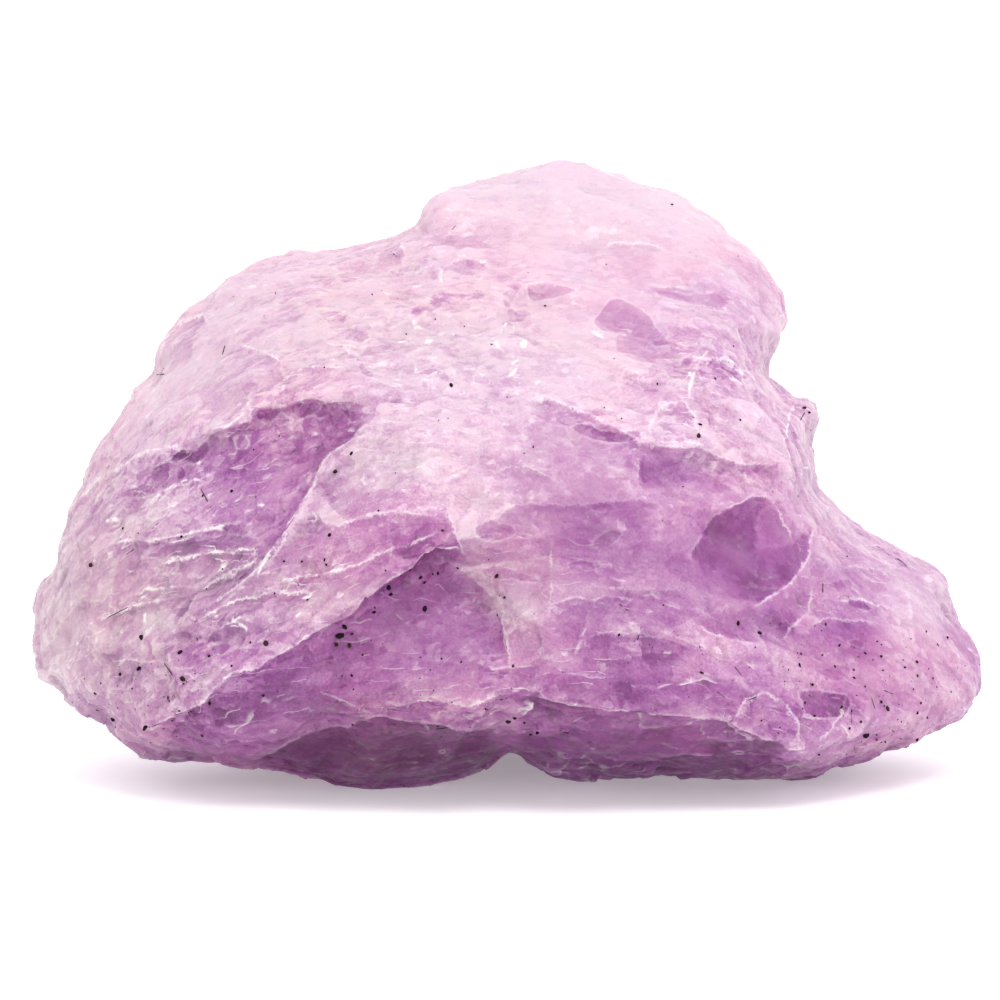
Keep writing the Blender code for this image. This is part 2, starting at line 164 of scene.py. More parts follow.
def stored(tree, shape, name, value, kind="FLOAT"):
    inputs = {"Geometry": shape, "Name": name, "Value": value}
    made = addNode(tree, "GeometryNodeStoreNamedAttribute", inputs, data_type=kind, domain="POINT")
    return made.outputs[0]


def finishTree(tree, shape, material):
    whole = addNode(tree, "GeometryNodeRealizeInstances", {"Geometry": shape}).outputs[0]
    done = addNode(tree, "GeometryNodeSetMaterial", {"Geometry": whole, "Material": material}).outputs[0]
    tree.links.new(done, tree.nodes.new("NodeGroupOutput").inputs[0])
    return tree


# Both the relief and the colours follow these, so that each tone lies on its own step; sizes are in mm
grain = dict(
    arcBend=0.0075,  # how fast the rows of plates fall away to the sides
    arcLean=0.25,  # and how fast they sink on their way into the stone
    squeeze=0.7,  # panes are this much lower than they are long
    warp=0.35,  # how far the panes' sides bend, in their own size
    waver=2.6,  # how far the rows wander, in pitches
    # size of the patches that plates lie in, in warps, and the noise at their side and middle
    patches=(2.5, 0.38, 0.62),
    plates=dict(  # pitch, lift, size of the warp, where the noise is read, painted shade under the lip
        plateWide=(2.2, 0.10, 7.0, (3.0, 1.0, 7.0), 0.07),
        plateFine=(0.9, 0.05, 3.0, (8.0, 5.0, 2.0), 0.05),
    ),
    # size, slope, lean of the face, where the noise is read, spread of tones, field that sets its strength
    panes=dict(
        paneWide=(2.6, 0.10, 0.15, (0.0, 0.0, 0.0), 0.26, "lively"),
        paneFine=(1.1, 0.12, 0.20, (11.0, 4.0, 9.0), 0.22, "lively"),
        shards=(0.5, 0.16, 0.35, (5.0, 5.0, 5.0), 0.42, "rough"),
    ),
)


def paneCell(tree, moved):
    # a pane's own colour about 0, and the slope it has about its centre
    cell = addNode(tree, "ShaderNodeTexVoronoi", {"Vector": moved, "Scale": 1.0}).outputs
    lot = vectorCalc(tree, "SUBTRACT", cell["Color"], (0.5,) * 3)
    return lot, vectorCalc(tree, "DOT_PRODUCT", vectorCalc(tree, "SUBTRACT", moved, cell["Position"]), lot)


# The stone; sizes are in mm
stone = dict(
    voxel=0.295,
    smoothing=(0.5, 1),  # factor and rounds
    relief={
        "Plate strength": 1.0,
        "Pane strength": 1.0,
        "Lump size": 0.7,
        "Lump height": 0.05,
        "Cloud size": 6.0,
    },
    warmth=(8.0, 0.35, 0.65),  # size of the warm and cool areas, and the noise where each is full
    breaks=0.9,  # size of the gaps in pale lines and flakes
    standsOut=dict(edge=3, bulge=43),  # rounds of blur that make the surroundings a point is compared with
    backRoughness=0.4,
    front=(0.35, 0.5),  # how far round the front's zones go (0 is sideways), and over what they fade
    rim=0.45,  # how far short of sideways the colour deepens as painted rim shade
    rimShade=0.08,  # by this much
)


def reliefTree(material):
    tree, given = newTree("Cleavage relief", stone["relief"])
    shape = given["Geometry"]
    # rows of plates: arcs that rise from both sides to the middle
    place = tree.nodes.new("GeometryNodeInputPosition").outputs[0]
    parts = split(tree, place)
    height = plus(tree, parts["Z"], parts["Y"], grain["arcLean"])
    height = plus(tree, height, times(tree, parts["X"], parts["X"]), grain["arcBend"])
    inputs = {"X": times(tree, parts["X"], grain["squeeze"]), "Y": parts["Y"], "Z": height}
    arc = addNode(tree, "ShaderNodeCombineXYZ", inputs).outputs[0]
    shape = stored(tree, shape, "arc", arc, "FLOAT_VECTOR")
    relief = 0.0
    patch, start, middle = grain["patches"]
    for name, (pitch, lift, warpSize, shift, _) in grain["plates"].items():
        wander = noiseOf(tree, place, warpSize, 3.0, shift)
        phase = plus(tree, calc(tree, "DIVIDE", height, pitch), wander, grain["waver"])
        present = ramp(tree, noiseOf(tree, place, patch * warpSize, 1.0, shift), start, middle)
        present = times(tree, present, named(tree, "lively"))
        shape = stored(tree, stored(tree, shape, name, phase), name + "Share", present)
        step = times(tree, minus(tree, 0.5, calc(tree, "FRACT", phase)), lift)
        relief = plus(tree, relief, times(tree, step, present), given["Plate strength"])
    for name, (size, slope, _, shift, _, where) in grain["panes"].items():
        warp = noiseOf(tree, arc, 2.0 * size, output=1)
        moved = vectorPlus(tree, vectorPlus(tree, shift, warp, grain["warp"]), arc, 1.0 / size)
        shape = stored(tree, shape, name, moved, "FLOAT_VECTOR")
        step = times(tree, paneCell(tree, moved)[1], 2.0 * slope * size)
        relief = plus(tree, relief, times(tree, step, named(tree, where)), given["Pane strength"])
    lumps = minus(tree, noiseOf(tree, place, given["Lump size"], 3.0), 0.5)
    relief = plus(tree, relief, lumps, given["Lump height"])
    relief = minus(tree, relief, named(tree, "drop"))
    # soft fields for the colours
    size, low, high = stone["warmth"]
    warmth = ramp(tree, noiseOf(tree, place, size, shift=(6.0, 1.0, 3.0)), low, high)
    shape = stored(tree, shape, "warmth", warmth)
    shape = stored(tree, shape, "cloud", noiseOf(tree, place, given["Cloud size"]))
    shape = stored(tree, shape, "broken", noiseOf(tree, place, stone["breaks"], shift=(2.0, 9.0, 4.0)))
    normal = tree.nodes.new("GeometryNodeInputNormal").outputs[0]
    inputs = {"Geometry": shape, "Offset": vectorTimes(tree, normal, relief)}
    shape = addNode(tree, "GeometryNodeSetPosition", inputs).outputs[0]
    # how far each point stands out of its surroundings, near and wide; these set painted shade in hollows and
    # a painted highlight on edges
    for name, rounds in stone["standsOut"].items():
        inputs = {"Value": place, "Iterations": rounds}
        blurred = addNode(tree, "GeometryNodeBlurAttribute", inputs, data_type="FLOAT_VECTOR").outputs[0]
        proud = vectorCalc(tree, "DOT_PRODUCT", vectorCalc(tree, "SUBTRACT", place, blurred), normal)
        shape = stored(tree, shape, name, proud)
    return finishTree(tree, shape, material)


def evaluated(piece):
    graph = bpy.context.evaluated_depsgraph_get()
    solid = piece.evaluated_get(graph)
    made = bpy.data.meshes.new_from_object(solid, preserve_all_data_layers=True, depsgraph=graph)
    bpy.data.objects.remove(piece)
    return made


def throughNodes(mesh, tree, sizes):
    # the mesh that a node tree makes of this one; the inputs are set by their identifiers
    piece = bpy.data.objects.new("work", mesh)
    bpy.context.scene.collection.objects.link(piece)
    modifier = piece.modifiers.new("Nodes", "NODES")
    modifier.node_group = tree
    for socket in tree.interface.items_tree:
        if socket.name in sizes:
            modifier[socket.identifier] = sizes[socket.name]
    return evaluated(piece)


def recut(node):
    # a fine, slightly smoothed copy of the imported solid, in the carving's frame
    mesh = node.data.copy()
    bm = bmesh.new()
    bm.from_mesh(mesh)
    bmesh.ops.remove_doubles(bm, verts=bm.verts, dist=1e-6)
    bm.to_mesh(mesh)
    bm.free()
    mesh.transform(carvingToTable.inverted())
    piece = bpy.data.objects.new("work", mesh)
    bpy.context.scene.collection.objects.link(piece)
    remesh = piece.modifiers.new("Recut", "REMESH")
    remesh.mode = "VOXEL"
    remesh.voxel_size = stone["voxel"]
    smooth = piece.modifiers.new("Smooth", "SMOOTH")
    smooth.factor, smooth.iterations = stone["smoothing"]
    return evaluated(piece)


def setField(mesh, name, values):
    field = mesh.attributes.new(name, "FLOAT", "POINT")
    field.data.foreach_set("value", np.asarray(values, np.float32))


# Broken edges drawn on the front, in mm. Each falls away on the right of its direction of travel:
# (drop, darkness below it: partly the stone's deeper colour, partly painted shade under the step,
# how far both reach, strength of the pale line along it: partly milky fracture, partly a painted highlight,
# points);
# one with a negative darkness is paler below
edges = {
    "brow": (0.16, 0.30, 2.6, 0.35, [(-24.5, 17.8), (-23.9, 18.4), (-22.5, 18.7), (-22.2, 19.4),
        (-21.1, 20.2), (-20.1, 20.9), (-19.2, 20.8), (-18.7, 21.4), (-17.9, 22.1), (-16.8, 22.3),
        (-15.8, 22.6), (-15.8, 23.5), (-14.9, 23.4), (-13.9, 23.3), (-12.9, 23.8), (-12.0, 24.0),
        (-11.1, 23.5), (-10.2, 23.7), (-9.2, 23.6), (-8.5, 23.5)]),
    "pocket foot": (0.1, -0.15, 2, 0.45, [(-23.9, 17.6), (-22.2, 18.1), (-20.5, 18.7), (-19.3, 19.0),
        (-18.0, 18.7)]),
    "crease": (0.3, 0.22, 1.6, 0.50, [(-8.7, 22.7), (-9.5, 21.7), (-10.9, 20.8), (-11.5, 19.9),
        (-11.8, 19.1), (-12.5, 17.9), (-13.2, 16.6), (-13.8, 15.7), (-14.6, 14.7), (-15.5, 13.5),
        (-16.2, 12.8), (-17.4, 12.0), (-18.4, 11.3)]),
    "crease twin": (0.08, 0.20, 0.7, 0.50, [(-12.1, 18.1), (-12.8, 16.9), (-13.5, 15.9), (-14.2, 14.7),
        (-15.1, 13.6)]),
    "patch foot": (0.15, 0.22, 2.4, 0.45, [(-11.6, 17.3), (-11.4, 16.4), (-10.5, 16.2), (-9.5, 16.5),
        (-8.3, 16.9), (-5.9, 17.0), (-4.1, 16.7)]),
    "patch top": (0.1, -0.20, 2.4, 0.40, [(-10.9, 20.7), (-10.0, 21.0), (-8.6, 21.4), (-7.2, 21.7),
        (-6.1, 22.0)]),
    "ridge upper": (0.15, 0.18, 2, 0.50, [(-14.7, 12.6), (-12.7, 13.0), (-10.5, 13.4), (-9.2, 13.9),
        (-7.4, 14.7), (-5.9, 15.1), (-4.0, 15.9)]),
    "ridge": (0.3, 0.34, 5.5, 0.40, [(-21.9, 3.7), (-20.5, 4.5), (-18.8, 5.2), (-18.0, 6.1), (-16.9, 7.1),
        (-15.4, 7.4), (-14.5, 8.0), (-13.1, 8.8), (-11.8, 9.6), (-10.6, 10.2), (-9.2, 10.9), (-8.9, 11.5),
        (-7.8, 12.3), (-6.8, 12.8), (-5.4, 13.7), (-3.7, 15.2)]),
    "hollow edge": (0.15, 0.28, 3.4, 0.30, [(-3.8, 17.8), (-3.6, 16.8), (-3.2, 15.6), (-2.8, 14.6),
        (-2.3, 13.7)]),
    "hollow right": (0.1, 0.15, 3, 0.30, [(-2.4, 13.7), (-2.0, 12.8), (-1.1, 11.8), (-0.5, 10.5),
        (-0.2, 9.2), (0.1, 7.8), (0.2, 6.9)]),
    "lens left": (0.25, 0.42, 7, 0.15, [(-16.0, 1.5), (-14.5, 2.1), (-12.4, 3.2), (-11.0, 3.7), (-9.9, 3.7),
        (-8.2, 4.4), (-6.6, 4.1), (-4.1, 3.9), (-3.0, 3.5), (-2.0, 3.4), (-0.4, 3.7)]),
    "keel left": (0.15, 0.26, 1.6, 0.25, [(-8.2, 5.5), (-6.7, 5.0), (-5.1, 5.4), (-4.0, 5.4), (-2.3, 5.1),
        (-0.6, 5.8), (0.4, 5.8)]),
    "keel right": (0.25, 0.42, 4.5, 0.20, [(0.4, 5.8), (1.9, 5.7), (3.8, 5.2), (6.8, 4.8), (10.5, 4.5),
        (13.1, 4.2), (15.3, 3.2), (17.3, 2.5)]),
    "left lens top": (0.1, 0.12, 2.2, 0.30, [(-12.1, 6.1), (-10.0, 5.4), (-8.2, 4.4)]),
    "dome streak": (0.1, 0.22, 0.9, 0.10, [(8.2, 30.7), (9.5, 31.0), (11.0, 31.0), (12.2, 30.7)]),
    "eaves": (0.3, 0.30, 2.6, 0.30, [(1.5, 24.3), (3.2, 23.7), (5.0, 23.0), (6.6, 22.2), (8.1, 21.4),
        (9.3, 21.0), (11.8, 20.9), (12.8, 20.5), (14.0, 20.0), (16.1, 19.9), (17.1, 20.3)]),
    "column line": (0.08, 0.14, 0.9, 0.85, [(17.0, 21.1), (17.3, 22.0), (17.6, 23.0), (18.1, 23.9)]),
    "crack two": (0.06, 0.10, 0.8, 0.50, [(12.0, 26.3), (12.9, 26.6), (13.7, 26.1), (14.5, 25.5)]),
    "round block": (0.12, 0.12, 1, 0.40, [(8.8, 21.1), (8.8, 22.2), (9.2, 23.2), (9.8, 23.7), (10.7, 23.7),
        (11.4, 22.9), (11.7, 21.7), (11.9, 20.9)]),
    "chip top": (0.16, 0.34, 3.4, 0.35, [(11.8, 15.0), (12.1, 15.7), (12.5, 16.6), (13.9, 17.3),
        (15.0, 17.9), (16.0, 17.9), (16.5, 17.3)]),
    "chip left": (0.12, 0.20, 1.8, 0.15, [(11.1, 14.0), (11.4, 14.8), (12.1, 15.7)]),
    "chip fold": (0.1, 0.06, 1.2, 0.45, [(16.1, 17.8), (16.7, 16.8), (17.2, 15.9), (17.5, 15.0)]),
    "chip right": (0.13, 0.28, 2.6, 0.40, [(18.0, 16.0), (18.8, 16.1), (18.6, 15.3), (18.4, 14.1),
        (17.5, 12.9), (17.1, 12.5), (15.6, 11.6), (14.7, 10.9)]),
    "second chip foot": (0.12, 0.24, 2.4, 0.50, [(15.5, 9.0), (14.9, 9.0), (13.7, 9.2), (12.2, 9.8),
        (11.1, 10.4)]),
    "second chip side": (0.12, 0.18, 2.6, 0.40, [(18.7, 12.6), (18.5, 11.0), (17.4, 9.9), (16.7, 9.0)]),
    "tail step": (0.1, 0.22, 2.2, 0.25, [(18.3, 9.5), (18.7, 10.0), (19.8, 10.5), (22.2, 10.2),
        (23.2, 9.8)]),
    "tail ledge": (0.12, 0.20, 1.4, 0.35, [(20.0, 11.5), (21.6, 11.6), (23.3, 11.3), (24.2, 10.8)]),
    "tail side": (0.1, -0.14, 2.6, 0.30, [(24.5, 12.6), (24.9, 11.2), (25.0, 9.6), (25.4, 7.8)]),
    "tail pane": (0.08, 0.16, 1.6, 0.25, [(20.2, 13.4), (21.7, 13.7), (23.1, 13.3), (24.1, 12.5)]),
    "middle foot": (0.12, 0.20, 4.2, 0.08, [(-2.5, 15.9), (-1.1, 16.4), (0.1, 17.3), (1.6, 17.5),
        (3.8, 17.4), (5.6, 17.6), (8.1, 17.8), (9.6, 17.4)]),
    "middle side": (0.15, 0.24, 3.4, 0.25, [(8.3, 18.1), (8.1, 19.1), (8.2, 20.5)]),
    "middle pane": (0.08, 0.12, 1.6, 0.30, [(-1.0, 19.3), (-0.2, 19.8), (1.0, 19.8), (2.3, 19.3),
        (3.3, 18.6)]),
    "front pane": (0.08, 0.16, 2, 0.30, [(2.2, 11.2), (3.9, 11.8), (5.0, 11.6), (5.9, 11.9), (8.1, 11.6)]),
    "front side": (0.06, 0.10, 1.6, 0.35, [(5.0, 11.4), (4.7, 9.9), (4.2, 8.6), (4.0, 7.9)]),
    "front streak": (0.12, 0.28, 1.4, 0.15, [(4.3, 9.2), (5.9, 9.6), (8.1, 9.6), (10.0, 9.2), (11.4, 8.6)]),
    "front line": (0.04, 0.05, 0.8, 0.30, [(2.7, 15.9), (2.5, 14.1), (2.6, 12.1), (2.4, 10.4)]),
    "bright patch": (0.06, -0.25, 1, 0.35, [(-1.2, 12.8), (-0.7, 11.8), (-0.3, 10.9), (0.7, 10.5),
        (1.9, 11.5)]),
    "knob": (0.18, 0.20, 1.4, 0.40, [(17.9, 2.6), (17.8, 4.1), (17.0, 5.4), (15.8, 6.0), (14.6, 5.6),
        (13.8, 4.4), (14.0, 2.7)]),
    "foot lip": (0.15, 0.30, 2.6, 0.15, [(11.8, 2.9), (13.6, 2.7), (15.3, 2.9), (17.1, 2.5), (18.4, 1.7)]),
    "tail curve": (0.08, 0.12, 1.2, 0.50, [(20.8, 6.1), (20.5, 4.7), (19.9, 3.7), (18.9, 2.9)]),
    "plate one": (0.15, 0.26, 2.2, 0.56, [(-25.0, 15.0), (-22.7, 15.3), (-20.5, 15.6), (-19.1, 15.7),
        (-17.5, 16.2), (-16.0, 16.4)]),
    "plate two": (0.12, 0.19, 1.6, 0.70, [(-22.1, 13.4), (-20.2, 14.1), (-18.0, 14.6), (-16.0, 14.6),
        (-14.8, 14.8)]),
    "plate three": (0.15, 0.31, 1.4, 0.49, [(-23.4, 11.8), (-22.0, 12.3), (-20.2, 12.5), (-18.9, 12.4),
        (-18.1, 13.1), (-16.8, 13.7), (-15.1, 14.3)]),
    "plate four": (0.12, 0.34, 1.2, 0.56, [(-25.7, 10.2), (-24.6, 10.6), (-23.2, 11.2), (-22.0, 11.5),
        (-20.8, 11.8)]),
    "plate five": (0.1, 0.31, 1.4, 0.70, [(-19.1, 10.3), (-18.0, 10.9), (-16.7, 11.6), (-15.1, 12.0),
        (-13.3, 12.2), (-11.7, 12.1)]),
    "plate six": (0.1, 0.31, 1.2, 0.56, [(-18.6, 9.2), (-17.5, 10.0), (-16.4, 10.5), (-15.4, 10.3)]),
    "plate seven": (0.1, 0.26, 1.4, 0.49, [(-24.4, 7.4), (-23.5, 7.9), (-22.4, 7.7), (-21.4, 8.0)]),
    "wing pane": (0.08, 0.16, 1.4, 0.30, [(-26.8, 10.7), (-26.5, 11.4), (-25.7, 11.6), (-24.9, 11.5)]),
    "crest step": (0.15, 0.14, 2.4, 0.66, [(-27.4, 17.0), (-26.0, 18.6), (-24.8, 19.6), (-22.2, 20.8),
        (-19.9, 21.2)]),
    "crest pane": (0.1, 0.20, 2.6, 0.47, [(-21.9, 26.4), (-21.4, 27.9), (-20.3, 29.0), (-19.1, 29.3),
        (-18.4, 28.2)]),
    "crest pane two": (0.1, 0.14, 2, 0.57, [(-17.1, 27.4), (-15.5, 27.0), (-14.1, 26.3), (-13.8, 25.1),
        (-14.8, 24.4)]),
    "crest pane three": (0.08, 0.14, 2, 0.57, [(-13.5, 23.6), (-13.9, 24.8), (-13.4, 25.6), (-12.5, 26.0),
        (-11.0, 25.6)]),
    "top pane": (0.08, 0.20, 1.8, 0.57, [(-8.3, 32.7), (-7.8, 33.7), (-7.0, 34.1), (-6.5, 33.3),
        (-6.7, 32.2)]),
    "top pane two": (0.08, 0.17, 1.6, 0.47, [(-3.9, 32.2), (-2.9, 32.9), (-1.4, 32.6), (-0.9, 32.1)]),
    "middle chip two": (0.1, 0.20, 1.2, 0.25, [(-2.1, 23.3), (-1.9, 23.6), (-1.1, 23.6), (-1.0, 22.9)]),
    "dome pane": (0.06, 0.11, 2.2, 0.47, [(5.8, 33.3), (6.5, 33.8), (8.3, 33.8), (10.0, 33.3)]),
    "side pane": (0.08, 0.17, 1.6, 0.57, [(12.0, 25.7), (12.4, 26.4), (13.4, 26.6), (14.2, 25.8),
        (15.2, 25.7)]),
}


# Small faces between them, drawn the same way, as loops that are filled
# (drop, darkness, how far both reach, strength of the pale line, loops)
shards = {
    "deep": (0.1, 0.27, 4, 0.20, [
        [(-13.1, 23.6), (-12.5, 23.9), (-12.0, 23.8), (-11.4, 23.9), (-11.3, 23.5), (-11.1, 23.2),
         (-11.2, 22.8), (-11.6, 22.7), (-12.0, 23.0), (-12.5, 22.8), (-12.8, 22.7), (-13.0, 23.2)],
        [(-21.1, 20.1), (-20.7, 20.5), (-20.4, 20.8), (-20.1, 21.0), (-19.8, 20.6), (-19.3, 20.7),
         (-19.0, 21.0), (-18.6, 21.4), (-18.5, 20.7), (-19.0, 20.3), (-19.4, 20.0), (-20.1, 20.2),
         (-20.6, 20.0)],
        [(-20.5, 10.7), (-20.3, 11.3), (-20.0, 11.8), (-19.7, 12.0), (-19.5, 11.6), (-19.6, 11.2),
         (-19.8, 10.8), (-20.0, 10.6)],
        [(3.8, 22.2), (4.2, 22.5), (5.1, 22.6), (5.4, 22.2), (5.8, 22.0), (6.4, 22.1), (6.8, 21.9),
         (7.6, 22.0), (8.2, 21.9), (7.9, 21.5), (7.0, 21.4), (5.9, 21.4), (5.0, 21.6), (4.3, 21.9)],
        [(17.9, 6.0), (18.9, 6.1), (19.8, 5.9), (20.8, 5.7), (21.1, 5.3), (20.8, 4.6), (20.2, 4.4),
         (19.1, 4.4), (18.3, 4.7), (18.1, 5.4)],
    ]),
    "purple": (0.06, 0.20, 3, 0.14, [
        [(-23.0, 15.5), (-22.1, 15.5), (-20.8, 15.2), (-18.9, 15.3), (-17.4, 15.7), (-16.1, 15.6),
         (-15.1, 15.3), (-15.8, 14.9), (-17.1, 14.9), (-18.6, 14.6), (-20.2, 14.3), (-21.4, 14.1),
         (-22.7, 14.3), (-23.1, 14.9)],
        [(5.3, 28.9), (5.8, 29.5), (6.3, 30.1), (6.8, 30.3), (7.7, 29.9), (8.3, 29.6), (8.8, 29.1),
         (9.1, 28.5), (9.6, 28.0), (9.9, 27.5), (9.4, 27.2), (8.8, 27.5), (8.2, 27.8), (7.6, 27.8),
         (7.1, 28.2), (6.6, 28.1), (5.9, 28.2), (5.5, 28.5)],
        [(-15.5, 23.2), (-15.1, 23.3), (-14.6, 23.2), (-14.0, 23.2), (-14.2, 22.8), (-14.6, 22.5),
         (-15.1, 22.4), (-15.5, 22.7)],
        [(-9.6, 27.6), (-9.5, 28.0), (-9.2, 28.3), (-8.7, 28.2), (-8.6, 27.8), (-9.0, 27.5)],
        [(-9.4, 26.6), (-9.1, 26.5), (-8.8, 26.0), (-8.4, 25.6), (-8.1, 25.2), (-8.6, 25.3), (-9.0, 25.7)],
        [(-22.5, 19.2), (-22.2, 19.7), (-21.8, 19.8), (-22.0, 19.4)],
        [(-24.4, 17.8), (-24.2, 18.4), (-23.7, 18.6), (-23.2, 18.6), (-22.7, 18.3), (-23.0, 18.0),
         (-23.7, 18.0)],
        [(-19.9, 18.9), (-19.4, 19.1), (-19.5, 18.7), (-19.8, 18.5)],
        [(-22.1, 13.0), (-21.4, 13.2), (-20.9, 13.0), (-20.8, 12.5), (-21.2, 12.2), (-21.8, 12.2),
         (-22.1, 12.6)],
        [(-18.6, 11.0), (-18.1, 11.4), (-17.6, 11.7), (-17.2, 11.6), (-17.7, 11.2), (-18.1, 10.9)],
        [(-17.7, 11.8), (-17.4, 12.4), (-16.9, 12.6), (-16.4, 12.7), (-16.7, 12.2), (-17.2, 11.8),
         (-17.4, 11.5)],
        [(-19.3, 12.3), (-19.0, 12.7), (-18.7, 12.8), (-18.4, 13.3), (-18.1, 13.4), (-17.7, 13.1),
         (-18.0, 12.8), (-18.4, 12.7), (-18.7, 12.3)],
        [(10.6, 26.2), (11.0, 26.6), (11.6, 26.6), (11.4, 26.0), (11.0, 25.7)],
        [(11.7, 26.0), (12.1, 26.5), (12.7, 26.4), (13.4, 26.0), (14.3, 25.7), (14.9, 25.3), (14.2, 25.2),
         (13.4, 25.4), (12.6, 25.2), (11.9, 25.3)],
        [(-6.1, 29.7), (-5.5, 29.9), (-4.8, 30.4), (-4.4, 30.8), (-4.0, 30.9), (-3.5, 30.5), (-2.8, 30.7),
         (-1.9, 30.5), (-1.2, 30.5), (-1.7, 30.3), (-2.5, 30.2), (-3.1, 30.4), (-3.6, 30.3), (-4.0, 30.2),
         (-4.2, 29.7), (-4.8, 29.4), (-5.3, 29.5), (-5.6, 29.1), (-6.1, 29.3)],
        [(-6.1, 29.7), (-5.6, 29.8), (-5.2, 29.5), (-5.4, 29.2), (-5.9, 29.3)],
        [(-4.2, 30.7), (-3.5, 30.6), (-2.8, 30.7), (-1.7, 30.6), (-1.2, 30.5), (-1.9, 30.4), (-2.9, 30.5),
         (-3.6, 30.4)],
        [(1.1, 31.1), (2.3, 31.3), (3.3, 31.1), (4.3, 30.8), (3.2, 30.4), (2.3, 30.2), (1.6, 30.1),
         (1.3, 30.3)],
        [(-5.5, 25.6), (-4.9, 25.9), (-4.2, 25.7), (-3.6, 25.4), (-3.2, 25.2), (-3.6, 25.0), (-4.2, 25.2),
         (-4.8, 25.4)],
        [(-2.0, 16.2), (-1.5, 16.4), (-1.0, 16.5), (-0.3, 16.3), (0.3, 16.1), (0.4, 15.7), (-0.2, 15.4),
         (-0.9, 15.2), (-1.5, 15.3), (-2.0, 15.7)],
        [(-1.6, 13.4), (-1.0, 13.7), (-0.4, 13.7), (0.2, 13.5), (0.9, 13.2), (1.8, 13.0), (1.9, 12.7),
         (1.0, 12.8), (0.2, 13.0), (-0.5, 12.9), (-1.2, 13.0)],
        [(-1.9, 11.6), (-1.5, 11.4), (-1.1, 11.1), (-1.2, 10.7), (-1.7, 11.1)],
        [(20.1, 11.7), (21.1, 11.7), (21.9, 11.5), (23.0, 11.2), (22.3, 11.0), (21.5, 11.1), (20.8, 11.5)],
    ]),
    "lilac": (0.04, 0.13, 3, 0.08, [
        [(-16.2, 17.0), (-15.1, 17.3), (-14.4, 17.1), (-14.3, 16.5), (-15.1, 16.2), (-16.0, 16.4)],
        [(-14.6, 10.4), (-13.9, 10.7), (-13.3, 10.4), (-13.9, 9.9), (-14.6, 10.0)],
        [(-22.1, 12.9), (-21.1, 13.1), (-20.3, 12.7), (-20.5, 12.2), (-21.4, 12.2), (-22.0, 12.5)],
        [(-12.7, 16.0), (-12.0, 16.2), (-11.4, 16.0), (-11.6, 15.7), (-12.4, 15.7)],
        [(-18.6, 9.3), (-18.0, 9.8), (-17.7, 9.4), (-18.3, 8.9)],
        [(-11.1, 23.2), (-10.6, 23.3), (-10.3, 23.6), (-9.9, 23.3), (-9.7, 22.8), (-10.0, 22.4),
         (-10.5, 22.2), (-10.9, 22.4)],
        [(-11.2, 21.8), (-10.8, 22.0), (-10.3, 21.9), (-10.2, 21.5), (-10.5, 21.2), (-11.0, 21.2),
         (-11.2, 21.4)],
        [(-14.5, 22.4), (-14.1, 22.2), (-13.7, 22.3), (-13.5, 21.9), (-13.7, 21.4), (-14.1, 21.4),
         (-14.4, 21.7)],
        [(-14.4, 23.9), (-14.0, 24.5), (-13.6, 24.8), (-13.0, 24.4), (-12.7, 24.0), (-13.2, 23.7),
         (-14.0, 23.6)],
        [(-10.3, 24.4), (-9.6, 24.5), (-9.3, 24.1), (-9.5, 23.5), (-10.1, 23.7)],
        [(-16.5, 24.6), (-16.2, 25.0), (-15.8, 25.3), (-15.4, 24.9), (-15.5, 24.3), (-16.0, 24.0)],
        [(-12.2, 29.6), (-11.3, 29.5), (-10.4, 29.5), (-9.8, 29.0), (-9.8, 28.3), (-10.3, 28.0),
         (-11.0, 28.3), (-11.2, 28.9)],
        [(-18.6, 9.4), (-18.3, 9.7), (-17.8, 9.8), (-17.6, 9.5), (-18.0, 9.1), (-18.4, 8.9)],
        [(-16.8, 9.5), (-16.5, 9.8), (-16.0, 9.6), (-16.2, 9.2), (-16.7, 9.2)],
        [(-20.9, 8.4), (-20.1, 8.6), (-19.5, 8.4), (-18.6, 8.1), (-18.4, 7.8), (-19.5, 7.4), (-20.6, 7.5)],
        [(-14.5, 11.2), (-13.9, 11.5), (-13.4, 11.3), (-13.6, 10.8), (-14.2, 10.5)],
        [(-14.3, 10.2), (-13.7, 10.5), (-13.3, 10.4), (-13.9, 10.0)],
        [(6.7, 28.0), (8.5, 27.6), (10.0, 27.7), (11.7, 26.8), (11.0, 25.9), (8.2, 26.0), (6.7, 27.0)],
        [(8.0, 25.2), (8.3, 25.5), (8.9, 25.8), (9.5, 25.7), (9.9, 25.3), (9.7, 24.8), (9.0, 24.3),
         (8.4, 24.5)],
        [(9.0, 30.8), (10.0, 30.8), (11.3, 30.6), (12.9, 30.7), (13.7, 30.2), (13.4, 29.5), (12.5, 29.8),
         (11.3, 30.0), (10.0, 30.3)],
        [(10.6, 28.4), (11.3, 28.6), (12.0, 28.2), (11.8, 27.7), (10.9, 27.9)],
        [(13.6, 23.2), (14.2, 23.4), (14.7, 22.9), (14.4, 22.6), (13.8, 22.8)],
        [(15.2, 22.7), (15.8, 23.1), (16.5, 22.8), (16.7, 22.3), (16.1, 22.1), (15.5, 22.3)],
        [(-0.4, 30.5), (-0.1, 30.8), (0.4, 31.1), (0.7, 30.9), (0.4, 30.2), (-0.0, 29.6), (-0.3, 29.9)],
        [(-4.3, 27.2), (-3.5, 27.3), (-2.8, 27.1), (-3.2, 26.5), (-3.8, 26.7)],
        [(-3.5, 26.3), (-2.5, 26.4), (-1.7, 26.0), (-2.2, 25.3), (-3.0, 25.4), (-3.5, 25.9)],
        [(-0.6, 25.1), (0.2, 25.3), (0.7, 24.8), (0.1, 24.5)],
        [(0.4, 29.4), (0.9, 29.6), (1.4, 29.4), (1.5, 28.7), (1.2, 28.3), (0.7, 28.5)],
        [(3.7, 13.9), (4.4, 14.1), (5.6, 14.0), (5.7, 13.7), (5.0, 13.5), (3.9, 13.4)],
        [(5.0, 15.0), (5.5, 15.5), (5.9, 15.8), (6.7, 16.0), (7.0, 15.7), (6.5, 15.2), (5.9, 14.9)],
